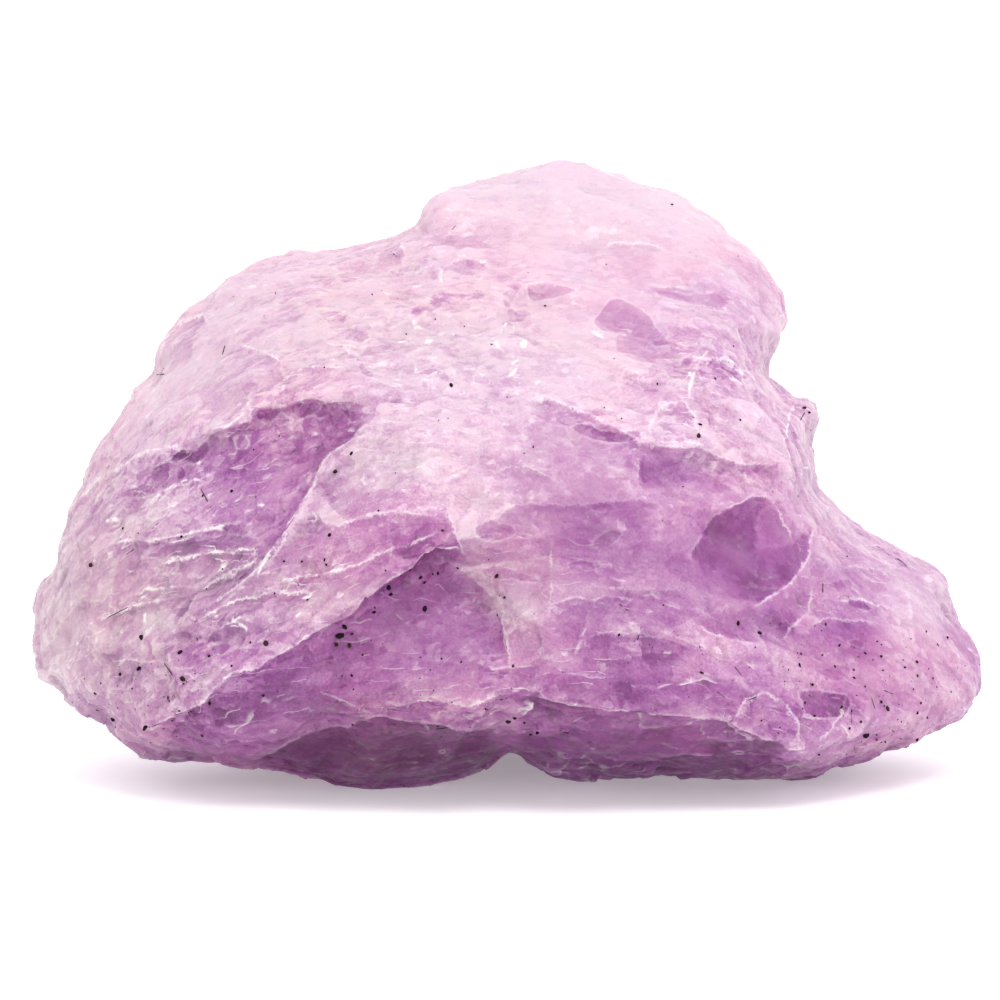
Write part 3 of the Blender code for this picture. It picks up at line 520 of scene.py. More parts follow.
        [(19.8, 12.5), (20.4, 12.8), (21.2, 12.9), (21.3, 12.5), (21.1, 12.3), (20.2, 12.3)],
        [(18.6, 14.1), (19.2, 14.1), (19.8, 13.7), (19.4, 12.9), (18.7, 13.1)],
        [(21.0, 9.1), (21.6, 9.2), (22.1, 8.9), (21.8, 8.5), (21.2, 8.6)],
        [(19.0, 7.2), (19.8, 7.5), (21.0, 7.7), (21.1, 7.2), (20.8, 6.7), (19.8, 6.7)],
        [(23.5, 5.8), (24.5, 6.0), (25.4, 5.4), (26.3, 5.0), (25.8, 4.6), (24.5, 4.7), (23.6, 5.2)],
    ]),
    "milky": (-0.05, -0.16, 2, 0.40, [
        [(-14.0, 23.2), (-13.7, 23.5), (-13.1, 23.6), (-13.0, 23.2), (-12.8, 22.7), (-13.3, 22.7),
         (-13.7, 22.8)],
        [(-13.5, 22.4), (-12.8, 22.6), (-12.7, 22.1), (-12.8, 21.6), (-13.4, 21.7)],
        [(-16.9, 21.4), (-16.5, 21.8), (-16.1, 21.6), (-16.0, 21.2), (-16.3, 20.9), (-16.8, 21.0)],
        [(-22.3, 17.8), (-21.7, 18.1), (-21.0, 17.9), (-21.0, 17.3), (-21.3, 16.8), (-22.1, 16.6),
         (-22.5, 17.1)],
        [(-10.1, 27.3), (-9.5, 27.5), (-8.7, 27.4), (-9.0, 27.0), (-9.8, 26.9)],
        [(6.9, 28.1), (7.3, 28.4), (7.6, 28.2), (7.5, 27.9), (7.1, 27.9)],
        [(9.3, 23.6), (9.6, 23.8), (9.8, 23.6), (9.6, 23.3), (9.4, 23.2)],
    ]),
}

# Short cuts, and bright glints that are painted highlights, drawn the same way but open
flaws = {
    "cuts": (0.06, 0.24, 0.6, 0.40, [
        [(-12.7, 22.2), (-12.6, 21.9), (-12.3, 21.7)], [(-12.1, 22.0), (-11.9, 21.8), (-11.7, 21.9)],
        [(-15.4, 14.4), (-16.4, 13.9), (-17.1, 13.6), (-17.7, 13.2)],
        [(-0.4, 9.6), (-0.3, 9.1), (-0.1, 8.4)],
        [(-20.7, 15.5), (-20.0, 15.7), (-19.3, 15.7), (-18.6, 15.8), (-18.0, 16.0)],
    ]),
    "glints": (0.03, 0.08, 0.5, 1.30, [
        [(-5.6, 28.6), (-5.4, 28.3), (-5.0, 28.3)], [(-5.2, 27.5), (-4.9, 27.5), (-4.6, 27.6)],
        [(-0.9, 27.6), (-0.7, 27.3), (-0.5, 27.0), (-0.2, 26.8)],
        [(-0.4, 28.1), (-0.3, 28.4), (-0.0, 28.7)], [(0.9, 27.2), (0.9, 27.5), (1.0, 27.7)],
        [(0.3, 26.1), (0.7, 26.3)], [(-2.0, 25.5), (-1.6, 25.3), (-1.4, 25.5)],
        [(0.1, 25.3), (0.3, 25.5), (0.6, 25.8)], [(5.1, 28.2), (5.4, 28.0), (5.9, 27.8)],
        [(-4.0, 30.2), (-3.7, 30.1)], [(1.7, 24.8), (2.0, 25.1)],
        [(-2.8, 29.2), (-2.5, 29.0), (-2.4, 29.3)],
        [(-20.2, 15.7), (-19.6, 15.7), (-19.1, 15.8), (-18.6, 15.9)],
        [(-18.5, 16.0), (-18.0, 16.0), (-17.4, 16.2), (-17.0, 16.3)],
        [(-21.3, 13.8), (-20.8, 13.9), (-20.3, 14.0), (-19.7, 14.1)],
        [(-18.9, 14.4), (-18.4, 14.5), (-17.9, 14.6), (-17.3, 14.7)], [(-20.6, 13.4), (-20.3, 13.8)],
        [(-17.2, 11.6), (-16.9, 11.9), (-16.6, 12.2), (-16.2, 12.4)],
        [(-18.0, 10.5), (-17.5, 10.8), (-17.2, 10.9)], [(-17.0, 10.4), (-16.6, 10.2)],
        [(-13.0, 10.6), (-12.6, 10.9)], [(-22.7, 11.7), (-22.2, 11.9)],
        [(-22.5, 10.9), (-22.5, 10.5), (-22.4, 10.1)], [(-15.1, 13.9), (-14.7, 14.4), (-14.4, 14.9)],
        [(-13.7, 16.0), (-13.4, 16.6), (-13.1, 17.1)], [(-17.9, 13.6), (-17.6, 13.8)],
        [(-12.7, 11.9), (-12.0, 12.0)], [(-24.6, 16.4), (-24.1, 16.6)], [(-15.5, 17.5), (-15.0, 17.4)],
        [(-12.0, 17.0), (-11.7, 16.6)], [(-17.6, 22.0), (-17.1, 22.3), (-16.6, 22.7), (-16.1, 23.1)],
        [(-18.7, 20.4), (-19.1, 20.2), (-19.3, 20.0)],
        [(-18.9, 14.6), (-18.2, 14.7), (-17.6, 14.7), (-17.0, 15.0)],
        [(-15.4, 13.0), (-15.1, 13.6), (-14.8, 14.1), (-14.5, 14.7)],
        [(-16.8, 10.3), (-16.4, 10.1), (-15.9, 9.7)], [(-13.0, 10.5), (-12.7, 10.7), (-12.4, 10.9)],
        [(12.5, 27.4), (12.2, 26.9), (11.8, 26.4), (11.6, 25.9), (11.3, 25.3), (11.2, 24.6), (11.0, 23.9)],
        [(-5.1, 25.3), (-4.7, 25.4), (-4.2, 25.3)], [(-4.2, 32.2), (-4.2, 31.7), (-4.2, 31.2)],
        [(-5.8, 26.4), (-5.7, 25.9), (-5.9, 25.5)], [(1.0, 27.6), (1.0, 27.1)],
        [(-2.8, 29.3), (-2.7, 28.7)], [(-6.0, 28.9), (-5.8, 28.5), (-5.4, 28.2)],
        [(-5.2, 27.5), (-4.7, 27.4)], [(-4.8, 14.3), (-3.9, 14.5), (-2.8, 14.6)],
    ]),
}


# How a drawn line works on the points near it; sizes are in mm
drawing = dict(
    deepest=3.0,  # points farther into the stone are left alone
    facing=-0.05,  # and so are those that turn farther from the front
    span=(3.0, 1.0),  # how far it is worked out: in reaches, and at least
    fall=1.3,  # how sharply its effect falls off
    tips=(1.2, 0.25),  # an open line fades out over this, or this share of its length if that is less
    lip=0.25,  # the drop comes in over this
    chipped=(0.8, 0.3, 1.1),  # the roughness that it adds, for what drop, and how far
    crispWidth=(0.7, 0.3),  # how far its sides stay crisp, and over what they fade
    farSide=3.0,  # the signed distance stops here
    beside=9.0,  # a line farther away than this is not beside a point
)


def drawLines(lines, across, into, up, turned):
    # how each line cuts, darkens and whitens the points near it; the darkening is partly painted shade under
    # the step, the whitening partly a painted highlight; crisp sides come from the signed distance
    count = len(across)
    drop, deep, crisp, pale, rough = np.zeros((5, count))
    side, nearest = np.full(count, drawing["farSide"]), np.full(count, drawing["beside"])
    front = np.flatnonzero((into < drawing["deepest"]) & (turned < drawing["facing"]))
    chip, chipDrop, chipReach = drawing["chipped"]
    crispReach, crispFade = drawing["crispWidth"]
    for depth, dark, reach, line, points in lines:
        ends = np.array(points)
        span = max(drawing["span"][0] * reach, drawing["span"][1])
        near = front[
            (across[front] > ends[:, 0].min() - span) & (across[front] < ends[:, 0].max() + span)
            & (up[front] > ends[:, 1].min() - span) & (up[front] < ends[:, 1].max() + span)
        ]
        spot = np.column_stack([across[near], up[near]])
        best, signed, beside, along = np.full(len(near), np.inf), *np.zeros((3, len(near)))
        length = 0.0
        for start, end in zip(ends[:-1], ends[1:]):
            run = np.linalg.norm(end - start)
            way = (end - start) / run
            rest = spot - start
            t = np.clip(rest @ way, 0.0, run)
            away = rest - t[:, None] * way
            gap = np.linalg.norm(away, axis=1)
            right = rest[:, 0] * way[1] - rest[:, 1] * way[0]
            closer = (gap < best - 1e-6) | ((gap < best + 1e-6) & (abs(right) > beside))
            best = np.where(closer, gap, best)
            beside = np.where(closer, abs(right), beside)
            signed = np.where(closer, np.where(right > 0, gap, -gap), signed)
            along = np.where(closer, length + t, along)
            length += run
        tip = min(drawing["tips"][0], drawing["tips"][1] * length)
        fade = np.clip(along / tip, 0, 1) * np.clip((length - along) / tip, 0, 1)
        fade = fade * fade * (3 - 2 * fade) if points[0] != points[-1] else 1.0
        reached = np.exp(-((best / reach) ** drawing["fall"]))
        below = np.where(signed > 0, reached, 0.0) * fade
        drop[near] += depth * below * np.clip(signed / drawing["lip"], 0, 1)
        rough[near] += chip * depth / chipDrop * np.exp(-((best / chipReach) ** 2)) * fade
        window = np.clip((crispReach - best) / crispFade, 0, 1)
        mine = best < nearest[near]
        chosen = near[mine]
        # what was crisp darkening, partly painted shade, for a farther line turns into plain depth of colour
        deep[chosen] += np.where(side[chosen] > 0, crisp[chosen], 0.0)
        nearest[chosen] = best[mine]
        side[chosen] = np.clip(signed[mine], -drawing["farSide"], drawing["farSide"])
        crisp[chosen] = (dark * reached * fade * window)[mine]
        pale[chosen] = (line * fade * window)[mine]
        deep[near] += dark * below * np.where(mine, 1.0 - window, 1.0)
    return dict(drop=drop, deep=deep, rough=rough, crisp=crisp, pale=pale, side=side)


# Soft zones on the front, in mm: (across, up, half width, half height, turn in degrees, strength)
zones = dict(
    swell=[  # how far the surface stands out, through the whole depth of the stone
        (-4.1, 36.5, 1.5, 1.3, 35, 0.5), (-17.6, 31.0, 1.1, 0.9, 35, 0.3),
        (-14.8, 33.2, 1.4, 1.0, 0, -0.35), (-11.6, 33.4, 1.4, 1.0, 0, -0.22),
        (19.1, 23.3, 0.9, 1.0, 0, 0.35), (17.0, 28.8, 0.8, 0.7, 0, 0.3), (16.7, 26.2, 0.8, 0.8, 0, -0.3),
        (20.0, 19.2, 1.3, 1.5, -50, -0.32), (27.0, 13.2, 1.4, 1.2, -40, 0.35),
        (28.3, 10.8, 0.9, 0.9, 0, -0.22), (28.3, 5.0, 1.5, 1.6, 40, 0.35), (9.5, 37.2, 3.0, 1.2, -22, 0.22),
        (15.5, 33.0, 1.5, 1.5, 0, 0.15), (-28.6, 13.6, 0.9, 1.5, 0, -0.35),
        (-27.0, 17.6, 0.7, 1.0, 0, 0.28), (-22.4, 25.6, 0.7, 1.0, 0, -0.25),
        (-28.0, 5.9, 0.8, 0.9, 0, -0.3), (-25.4, 3.8, 1.2, 0.9, -30, -0.28),
    ],
    # deeper purple: mostly the stone's own colour, with painted shade along the underside at the foot and in
    # the pocket under the brow
    deep=[
        (-10.3, 23.3, 2.5, 1.2, 0, -0.06), (11.0, 15.0, 2.0, 3.0, 0, 0.12), (17.6, 18.2, 1.5, 1.6, 0, 0.08),
        (1.0, 22.0, 5.0, 3.0, 0, 0.04), (-13.0, 11.5, 2.8, 1.5, 15, -0.12),
        (-18.0, 12.7, 2.8, 1.6, 0, -0.07), (20.1, 11.5, 3.0, 2.0, 0, -0.06),
        (26.4, 7.7, 2.0, 2.6, 0, -0.05), (4.0, 16.0, 4.0, 2.0, 0, 0.04), (-14.5, 19.8, 5.5, 2.6, 22, 0.16),
        (-19.5, 15.0, 4.0, 0.75, 4, 0.18), (-15.2, 16.7, 1.8, 1.0, 0, 0.14), (5.7, 12.0, 5.0, 3.0, 0, 0.08),
        (-25.0, 9.0, 4.0, 6.0, 0, 0.08), (7.5, 28.6, 2.8, 1.9, -30, 0.1),
        (-17.4, 21.9, 4.0, 2.0, 20, -0.08), (-11.6, 22.5, 2.5, 1.8, 0, -0.12),
        (-22.6, 8.2, 4.0, 3.0, 0, -0.09), (-28.0, 8.8, 2.5, 4.0, 0, -0.12),
        (-6.6, 11.4, 3.5, 2.5, 20, -0.08), (11.3, 19.3, 3.0, 1.5, -5, -0.12),
        (14.4, 14.0, 3.6, 3.2, 0, 0.22), (8.0, 15.5, 4.5, 3.0, 0, 0.2), (-18.0, 21.0, 3.5, 1.8, 30, 0.14),
        (18.5, 20.0, 2.0, 4.0, 0, 0.12), (-3.0, 7.5, 2.5, 3.0, 0, 0.1), (24.5, 14.0, 3.5, 3.0, 0, -0.1),
        (26.5, 7.5, 3.0, 3.5, 0, -0.08), (5.7, 11.4, 4.0, 2.0, 0, -0.1), (5.7, 5.8, 6.0, 1.4, 0, 0.22),
        (-15.4, 3.8, 3.5, 2.0, 0, 0.02), (-8.0, 20.1, 4.1, 1.8, 12, 0.12),
        (-24.0, 11.5, 6.0, 7.5, 0, -0.06), (-15.2, 22.8, 1.1, 0.6, 0, 0.15),
        (-12.3, 23.3, 1.1, 0.8, 0, 0.22), (-10.1, 22.5, 1.4, 1.0, 20, 0.12),
        (-18.3, 20.3, 4.7, 1.8, 22, 0.08), (-18.3, 15.4, 5.0, 1.1, 9, 0.08),
        (-20.1, 11.2, 0.8, 0.5, 0, 0.2), (-18.3, 11.4, 1.2, 0.5, 35, 0.25),
        (-13.0, 18.6, 0.7, 0.4, 0, 0.25), (-15.4, 18.3, 0.6, 0.4, 0, 0.15), (-5.3, 13.6, 2.6, 2.8, 0, 0.22),
        (-6.0, 10.2, 5.0, 3.0, 20, 0.14), (-13.6, 5.2, 6.9, 2.0, 15, 0.27), (-7.4, 1.8, 8.6, 1.7, 0, 0.6),
        (8.2, 1.8, 8.8, 1.8, -3, 0.34), (10.8, 19.5, 3.9, 1.3, -5, 0.18), (5.1, 16.5, 3.9, 1.6, 0, 0.15),
        (15.1, 14.2, 3.7, 3.2, 0, 0.24), (17.1, 13.2, 0.6, 0.6, 0, 0.2), (16.7, 10.1, 2.0, 1.1, 0, 0.3),
        (20.8, 9.0, 3.2, 1.4, 0, 0.25), (8.2, 8.4, 3.1, 1.2, 0, 0.15), (7.3, 28.7, 1.6, 1.0, -30, 0.12),
        (9.3, 27.0, 2.4, 0.9, -30, 0.14), (13.5, 25.5, 2.8, 1.4, -20, 0.14), (20.1, 5.2, 2.0, 1.2, 0, 0.2),
        (-25.5, 11.2, 1.6, 0.9, 0, 0.12), (5.8, 11.5, 6.9, 3.8, 0, 0.08), (7.0, 6.0, 6.5, 1.8, 0, 0.22),
        (20.5, 12.0, 2.5, 2.5, 0, 0.12), (14.5, 30.0, 4.0, 3.0, 0, 0.12), (3.5, 19.0, 4.0, 2.2, 0, 0.14),
    ],
    milk=[
        (-28.4, 9.5, 1.8, 6.0, -8, 0.25), (-8.0, 20.1, 4.1, 1.8, 12, 0.25),
        (-13.0, 11.2, 3.9, 0.9, 18, 0.16), (-21.8, 10.6, 1.1, 0.8, 0, 0.3), (0.4, 11.5, 1.7, 1.2, 0, 0.35),
        (4.5, 36.2, 8.8, 3.1, 0, 0.3), (-1.0, 27.0, 9.0, 3.0, 0, 0.16), (-18.0, 13.0, 4.0, 2.5, 10, 0.16),
        (19.5, 19.6, 1.9, 3.8, 0, 0.25), (26.4, 11.5, 1.9, 2.5, -40, 0.25),
        (-25.5, 11.0, 4.5, 8.0, 0, 0.22),
    ],
    lavender=[
        (8.0, 14.0, 9.0, 6.0, 0, 0.5), (-8.0, 19.6, 4.5, 2.4, 12, 0.9), (1.5, 20.5, 6.0, 4.5, 0, 0.5),
        (-1.0, 27.0, 9.0, 3.0, 0, 0.4), (19.5, 19.6, 2.5, 4.5, 0, 0.4), (-20.0, 17.0, 5.0, 2.5, 20, 0.4),
        (24.0, 13.0, 3.5, 3.0, -30, 0.5),
    ],
    calm=[
        (7.0, 34.0, 11.0, 6.5, 0, 0.9), (-17.0, 28.0, 9.5, 5.0, 25, 0.6), (3.0, 20.0, 7.0, 4.5, 0, 0.45),
        (15.1, 14.0, 3.9, 3.4, 0, 0.85), (-5.5, 10.5, 4.5, 3.5, 0, 0.55), (7.6, 28.5, 2.4, 1.8, -30, 0.7),
        (-7.0, 2.6, 8.5, 2.0, 0, 0.5), (8.0, 2.6, 8.5, 1.8, 0, 0.4), (5.0, 14.5, 6.5, 4.5, 0, 0.35),
        (24.0, 8.5, 5.0, 5.5, 0, 0.55), (0.0, 28.0, 7.0, 4.0, 0, 0.35),
    ],
    dusty=[
        (-15.0, 28.0, 9.5, 5.0, 20, 0.5), (-3.0, 28.0, 8.0, 4.5, 0, 0.35), (-8.0, 20.0, 4.5, 2.6, 10, 0.5),
        (5.0, 14.0, 8.0, 5.0, 0, 0.6), (0.0, 4.0, 18.0, 3.0, 0, 0.5), (-24.5, 11.0, 6.0, 9.0, 0, 0.9),
        (-15.0, 12.5, 6.0, 3.5, 0, 0.5), (-5.5, 10.0, 5.5, 4.5, 10, 0.8), (-8.0, 3.0, 9.0, 2.5, 0, 0.7),
        (2.0, 18.0, 5.0, 5.0, 0, 0.5), (7.5, 8.3, 4.0, 1.6, 0, 0.4),
    ],
    rough=[
        (-17.5, 20.5, 5.0, 2.2, 25, 0.7), (-20.0, 14.0, 5.5, 3.0, 10, 0.4), (-19.5, 8.5, 7.0, 4.5, 15, 0.9),
        (-8.5, 20.0, 4.5, 2.5, 10, 0.8), (-13.5, 21.5, 4.0, 2.0, 10, 0.6), (-13.5, 28.5, 8.0, 3.5, 0, 0.5),
        (-4.0, 30.0, 7.0, 3.0, 0, 0.6), (1.0, 27.5, 6.0, 2.0, 0, 0.5), (12.5, 26.5, 3.5, 3.5, 0, 0.5),
        (24.0, 5.5, 5.0, 4.0, 0, 0.4), (-1.0, 4.5, 9.0, 1.5, 0, 0.5), (-23.5, 19.0, 3.5, 5.0, -40, 0.5),
    ],
    grit=[
        (-21.5, 5.5, 5.0, 3.0, 10, 1.0), (-8.0, 6.5, 9.0, 3.5, 0, 0.3), (21.5, 5.5, 7.0, 4.0, -10, 0.9),
        (8.5, 8.0, 4.0, 2.0, 0, 0.7), (0.0, 17.0, 26.0, 16.0, 0, 0.06),
    ],
)


def softZones(across, up, blobs, sharpness=1.5):
    total = np.zeros(len(across))
    for x, z, halfWidth, halfHeight, turn, strength in blobs:
        c, s = math.cos(math.radians(turn)), math.sin(math.radians(turn))
        along = ((across - x) * c + (up - z) * s) / halfWidth
        over = (-(across - x) * s + (up - z) * c) / halfHeight
        total += strength * np.exp(-((along**2 + over**2) ** sharpness))
    return total


def inBox(name, mesh):
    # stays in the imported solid's box, and rests flat
    places = np.clip([v.co for v in mesh.vertices], *cadBox)
    mesh.vertices.foreach_set("co", places.ravel())
    mesh.update()
    made = bpy.data.objects.new(name, mesh)
    bpy.context.scene.collection.objects.link(made)
    return made


# Dark mineral grains sunk in the surface; sizes are in mm
specks = dict(
    # how many lie on a square mm where the grit is 1, their radius, and the seed of the scatter
    scatter={"Density": 1.4, "Finest": 0.035, "Coarsest": 0.10, "Seed": 11},
    rarity=3.0,  # the higher, the fewer coarse ones
    narrowest=(0.5, 0.4, 0.5),  # of the radius
    widest=(1.6, 1.2, 0.9),
    sunk=0.1,  # of the radius
    grown=1.15,  # placed ones are this much larger than listed
    needle=0.024,  # half width
    point=0.1,  # length of a needle's tips
    look=dict(
        colours=[(0.55, (0.012, 0.006, 0.010)), (0.72, (0.07, 0.03, 0.025))],
        mottle=1.6,
        pits=(0.05, 0.00002),  # size in mm, depth in m
        roughness=0.6,
        shine=0.05,
    ),
    picked=[  # across, up, radius
        (-22.3, 3.8, 0.24), (-24.5, 4.2, 0.13), (-25.5, 5.8, 0.13), (-23.9, 7.0, 0.16), (-22.7, 7.4, 0.13),
        (-22.5, 9.3, 0.16), (-25.8, 13.7, 0.18), (-22.8, 15.7, 0.08), (-23.8, 16.0, 0.08),
        (-18.8, 3.3, 0.16), (-20.2, 4.8, 0.11), (-18.3, 5.3, 0.16), (-20.9, 5.6, 0.10), (-19.2, 6.7, 0.11),
        (-19.9, 6.8, 0.25), (-18.3, 8.2, 0.11), (-20.1, 8.4, 0.13), (-18.5, 12.3, 0.11),
        (-20.1, 15.5, 0.12), (-18.8, 18.0, 0.08), (-15.0, 5.8, 0.09), (-16.9, 7.6, 0.10),
        (-14.8, 9.0, 0.20), (-17.0, 18.3, 0.11), (-10.5, 8.9, 0.13), (-10.3, 9.5, 0.25),
        (-11.1, 13.8, 0.08), (-13.7, 14.0, 0.11), (-12.6, 14.0, 0.09), (-11.2, 14.1, 0.09),
        (-10.9, 15.6, 0.16), (-10.6, 19.5, 0.18), (-11.3, 25.9, 0.08), (-9.7, 8.9, 0.16), (-9.5, 9.6, 0.13),
        (-10.0, 10.0, 0.21), (-8.2, 10.9, 0.12), (-7.2, 12.0, 0.12), (-7.3, 12.4, 0.19), (-6.0, 13.5, 0.12),
        (-9.6, 20.6, 0.16), (-6.3, 28.0, 0.08), (-5.1, 11.1, 0.16), (-5.1, 12.7, 0.12), (-5.4, 13.0, 0.21),
        (-4.3, 13.3, 0.12), (-3.1, 13.6, 0.08), (-4.0, 15.9, 0.10), (-3.5, 24.8, 0.12), (-2.7, 28.5, 0.08),
        (1.4, 3.3, 0.12), (1.8, 3.5, 0.20), (1.0, 4.1, 0.12), (-0.0, 4.2, 0.19), (0.4, 4.4, 0.13),
        (-1.4, 5.0, 0.11), (0.3, 7.6, 0.12), (-0.2, 11.8, 0.11), (-0.7, 13.1, 0.18), (-1.2, 14.1, 0.08),
        (5.9, 23.4, 0.08), (2.3, 29.8, 0.08), (9.2, 24.9, 0.11), (11.8, 7.2, 0.12), (11.7, 21.7, 0.16),
        (11.8, 22.4, 0.12), (10.3, 36.3, 0.09), (17.9, 7.6, 0.10), (18.0, 8.3, 0.09), (15.4, 9.6, 0.17),
        (14.1, 10.2, 0.11), (14.0, 27.3, 0.08), (21.0, 3.7, 0.11), (21.7, 4.1, 0.16), (18.8, 4.5, 0.09),
        (20.5, 5.0, 0.11), (18.2, 5.3, 0.09), (18.7, 6.4, 0.10), (21.3, 6.8, 0.11), (21.3, 7.3, 0.08),
        (20.1, 7.5, 0.10), (19.3, 8.2, 0.08), (20.4, 8.8, 0.10), (18.8, 23.2, 0.16), (18.5, 23.5, 0.17),
        (25.4, 2.9, 0.13), (22.8, 2.9, 0.12), (22.1, 3.3, 0.24), (25.3, 4.6, 0.11), (23.4, 4.9, 0.13),
        (25.5, 5.2, 0.08), (23.0, 5.3, 0.11), (25.3, 6.9, 0.12), (24.5, 7.4, 0.08), (23.0, 8.1, 0.11),
        (22.0, 8.3, 0.09), (25.9, 9.6, 0.09), (26.3, 6.7, 0.08), (27.3, 9.2, 0.09),
    ],
    needles=[
        [(-21.8, 7.2), (-21.5, 7.5)], [(-21.1, 7.7), (-21.0, 7.2), (-20.6, 7.0)],
        [(-19.1, 9.3), (-19.0, 9.1)], [(24.3, 14.1), (24.4, 13.9), (24.8, 13.7)],
        [(26.3, 13.4), (26.3, 12.6)], [(19.4, 12.6), (19.4, 12.1)], [(21.1, 4.8), (21.1, 4.1)],
        [(-21.9, 16.0), (-21.6, 16.3)], [(-23.5, 14.4), (-23.1, 14.7)], [(-17.6, 27.3), (-17.7, 26.8)],
        [(22.4, 5.5), (22.6, 4.9)], [(-3.5, 34.7), (-3.3, 34.9)], [(-7.3, 33.3), (-7.0, 33.0)],
        [(-5.6, 15.5), (-5.9, 14.9)], [(18.5, 23.2), (18.2, 22.7)], [(-24.7, 10.5), (-23.3, 11.2)],
        [(-18.9, 18.4), (-18.6, 17.9), (-18.3, 17.3)], [(-0.2, 9.2), (-0.1, 8.7)],
        [(12.8, 6.0), (13.2, 5.7)], [(13.9, 7.5), (14.3, 7.0)], [(23.5, 3.7), (23.9, 3.4)],
        [(6.8, 11.4), (7.3, 11.0)], [(-22.0, 25.6), (-21.4, 25.6)], [(-21.9, 3.8), (-21.4, 4.0)],
        [(-20.6, 4.5), (-20.0, 4.7)], [(11.7, 8.8), (11.9, 8.3)], [(8.1, 9.9), (7.9, 9.2)],
        [(20.8, 7.9), (21.6, 8.1)], [(23.2, 6.0), (23.7, 5.8)], [(14.7, 5.5), (15.2, 5.7)],
        [(3.2, 3.6), (3.7, 3.4)], [(-4.4, 3.7), (-3.7, 3.8)],
    ],
)


def speckTree(material):
    tree, given = newTree("Speck scatter", specks["scatter"])

    def lot(low, high, offset, kind="FLOAT"):
        first, second, drawn = {"FLOAT": (2, 3, 1), "FLOAT_VECTOR": (0, 1, 0)}[kind]
        seed = calc(tree, "ADD", given["Seed"], offset)
        index = tree.nodes.new("GeometryNodeInputIndex").outputs[0]
        inputs = {first: low, second: high, "Seed": seed, "ID": index}
        return addNode(tree, "FunctionNodeRandomValue", inputs, data_type=kind).outputs[drawn]

    scattered = addNode(tree, "GeometryNodeDistributePointsOnFaces", {
        "Mesh": given["Geometry"], "Density": times(tree, named(tree, "grit"), given["Density"]),
        "Seed": given["Seed"],
    }).outputs["Points"]
    chance = calc(tree, "POWER", lot(0.0, 1.0, 1.0), specks["rarity"])
    inputs = {0: chance, 3: given["Finest"], 4: given["Coarsest"]}
    scattered = stored(tree, scattered, "size", addNode(tree, "ShaderNodeMapRange", inputs).outputs[0])
    inputs = {"Mesh": given["Geometry"], "Selection": calc(tree, "GREATER_THAN", named(tree, "size"), 0.0)}
    picked = addNode(tree, "GeometryNodeMeshToPoints", inputs).outputs[0]
    joined = tree.nodes.new("GeometryNodeJoinGeometry")
    tree.links.new(scattered, joined.inputs[0])
    tree.links.new(picked, joined.inputs[0])
    crumb = addNode(tree, "GeometryNodeMeshIcoSphere", {"Radius": 1.0, "Subdivisions": 1}).outputs[0]
    shape = lot(specks["narrowest"], specks["widest"], 2.0, "FLOAT_VECTOR")
    turn = lot((0.0,) * 3, (6.3,) * 3, 3.0, "FLOAT_VECTOR")
    grains = addNode(tree, "GeometryNodeInstanceOnPoints", {
        "Points": joined.outputs[0], "Instance": crumb, "Rotation": turn,
        "Scale": vectorTimes(tree, shape, named(tree, "size")),
    }).outputs[0]
    return finishTree(tree, grains, material)


def speckMaterial():
    material = bpy.data.materials.new("dark mineral grains")
    material.use_nodes = True
    tree = material.node_tree
    look = specks["look"]
    place = tree.nodes.new("ShaderNodeTexCoord").outputs["Object"]
    place = vectorCalc(tree, "MULTIPLY", place, (1000.0,) * 3)
    pitSize, pitDepth = look["pits"]
    inputs = {"Height": noiseOf(tree, place, pitSize), "Strength": 0.5, "Distance": pitDepth}
    shader = tree.nodes["Principled BSDF"]
    colour = shaded(tree, noiseOf(tree, place, look["mottle"], 1.0), look["colours"])
    tree.links.new(colour, shader.inputs["Base Color"])
    tree.links.new(addNode(tree, "ShaderNodeBump", inputs).outputs[0], shader.inputs["Normal"])
    shader.inputs["Roughness"].default_value = look["roughness"]
    shader.inputs["Specular IOR Level"].default_value = look["shine"]
    return material


def onSurface(finder, across, up):
    return finder.ray_cast(Vector((across, -100.0, up)), Vector((0.0, 1.0, 0.0)))[0]


def addNeedle(bm, start, end):
    # a thin crystal with four sides, pointed at both ends
    way = (end - start).normalized()
    side = way.cross(Vector((0.0, 1.0, 0.0))).normalized() * specks["needle"]
    deep = way.cross(side)
    tips = [bm.verts.new(start - way * specks["point"]), bm.verts.new(end + way * specks["point"])]
    rings = [[bm.verts.new(at + d) for d in (side, deep, -side, -deep)] for at in (start, end)]
    for i in range(4):
        j = (i + 1) % 4
        bm.faces.new((rings[0][i], rings[0][j], rings[1][j], rings[1][i]))
        bm.faces.new((tips[0], rings[0][j], rings[0][i]))
        bm.faces.new((tips[1], rings[1][i], rings[1][j]))


def buildSpecks(stoneMesh):
    material = speckMaterial()
    corners, faces = [v.co for v in stoneMesh.vertices], [p.vertices for p in stoneMesh.polygons]
    finder = BVHTree.FromPolygons(corners, faces)
    bm = bmesh.new()
    bm.from_mesh(stoneMesh)
    size = bm.verts.layers.float.new("size")
    for across, up, radius in specks["picked"]:
        found = onSurface(finder, across, up)
        if found:
            centre = bm.verts.new(found + Vector((0.0, specks["sunk"] * radius, 0.0)))
            centre[size] = specks["grown"] * radius
    base = bpy.data.meshes.new("specks")
    bm.to_mesh(base)
    bm.free()
    made = throughNodes(base, speckTree(material), specks["scatter"])
    bm = bmesh.new()
    bm.from_mesh(made)
    for points in specks["needles"]:
        start, end = (onSurface(finder, *points[i]) for i in (0, -1))
        if start and end:
            addNeedle(bm, start, end)
    for face in bm.faces:
        face.material_index = 0
    bmesh.ops.recalc_face_normals(bm, faces=bm.faces)
    bm.to_mesh(made)
    bm.free()
    made.materials.clear()
    made.materials.append(material)
    made.transform(carvingToTable)
    print("specks:", len(made.polygons), "faces")
    return inBox("mineralSpecks", made)


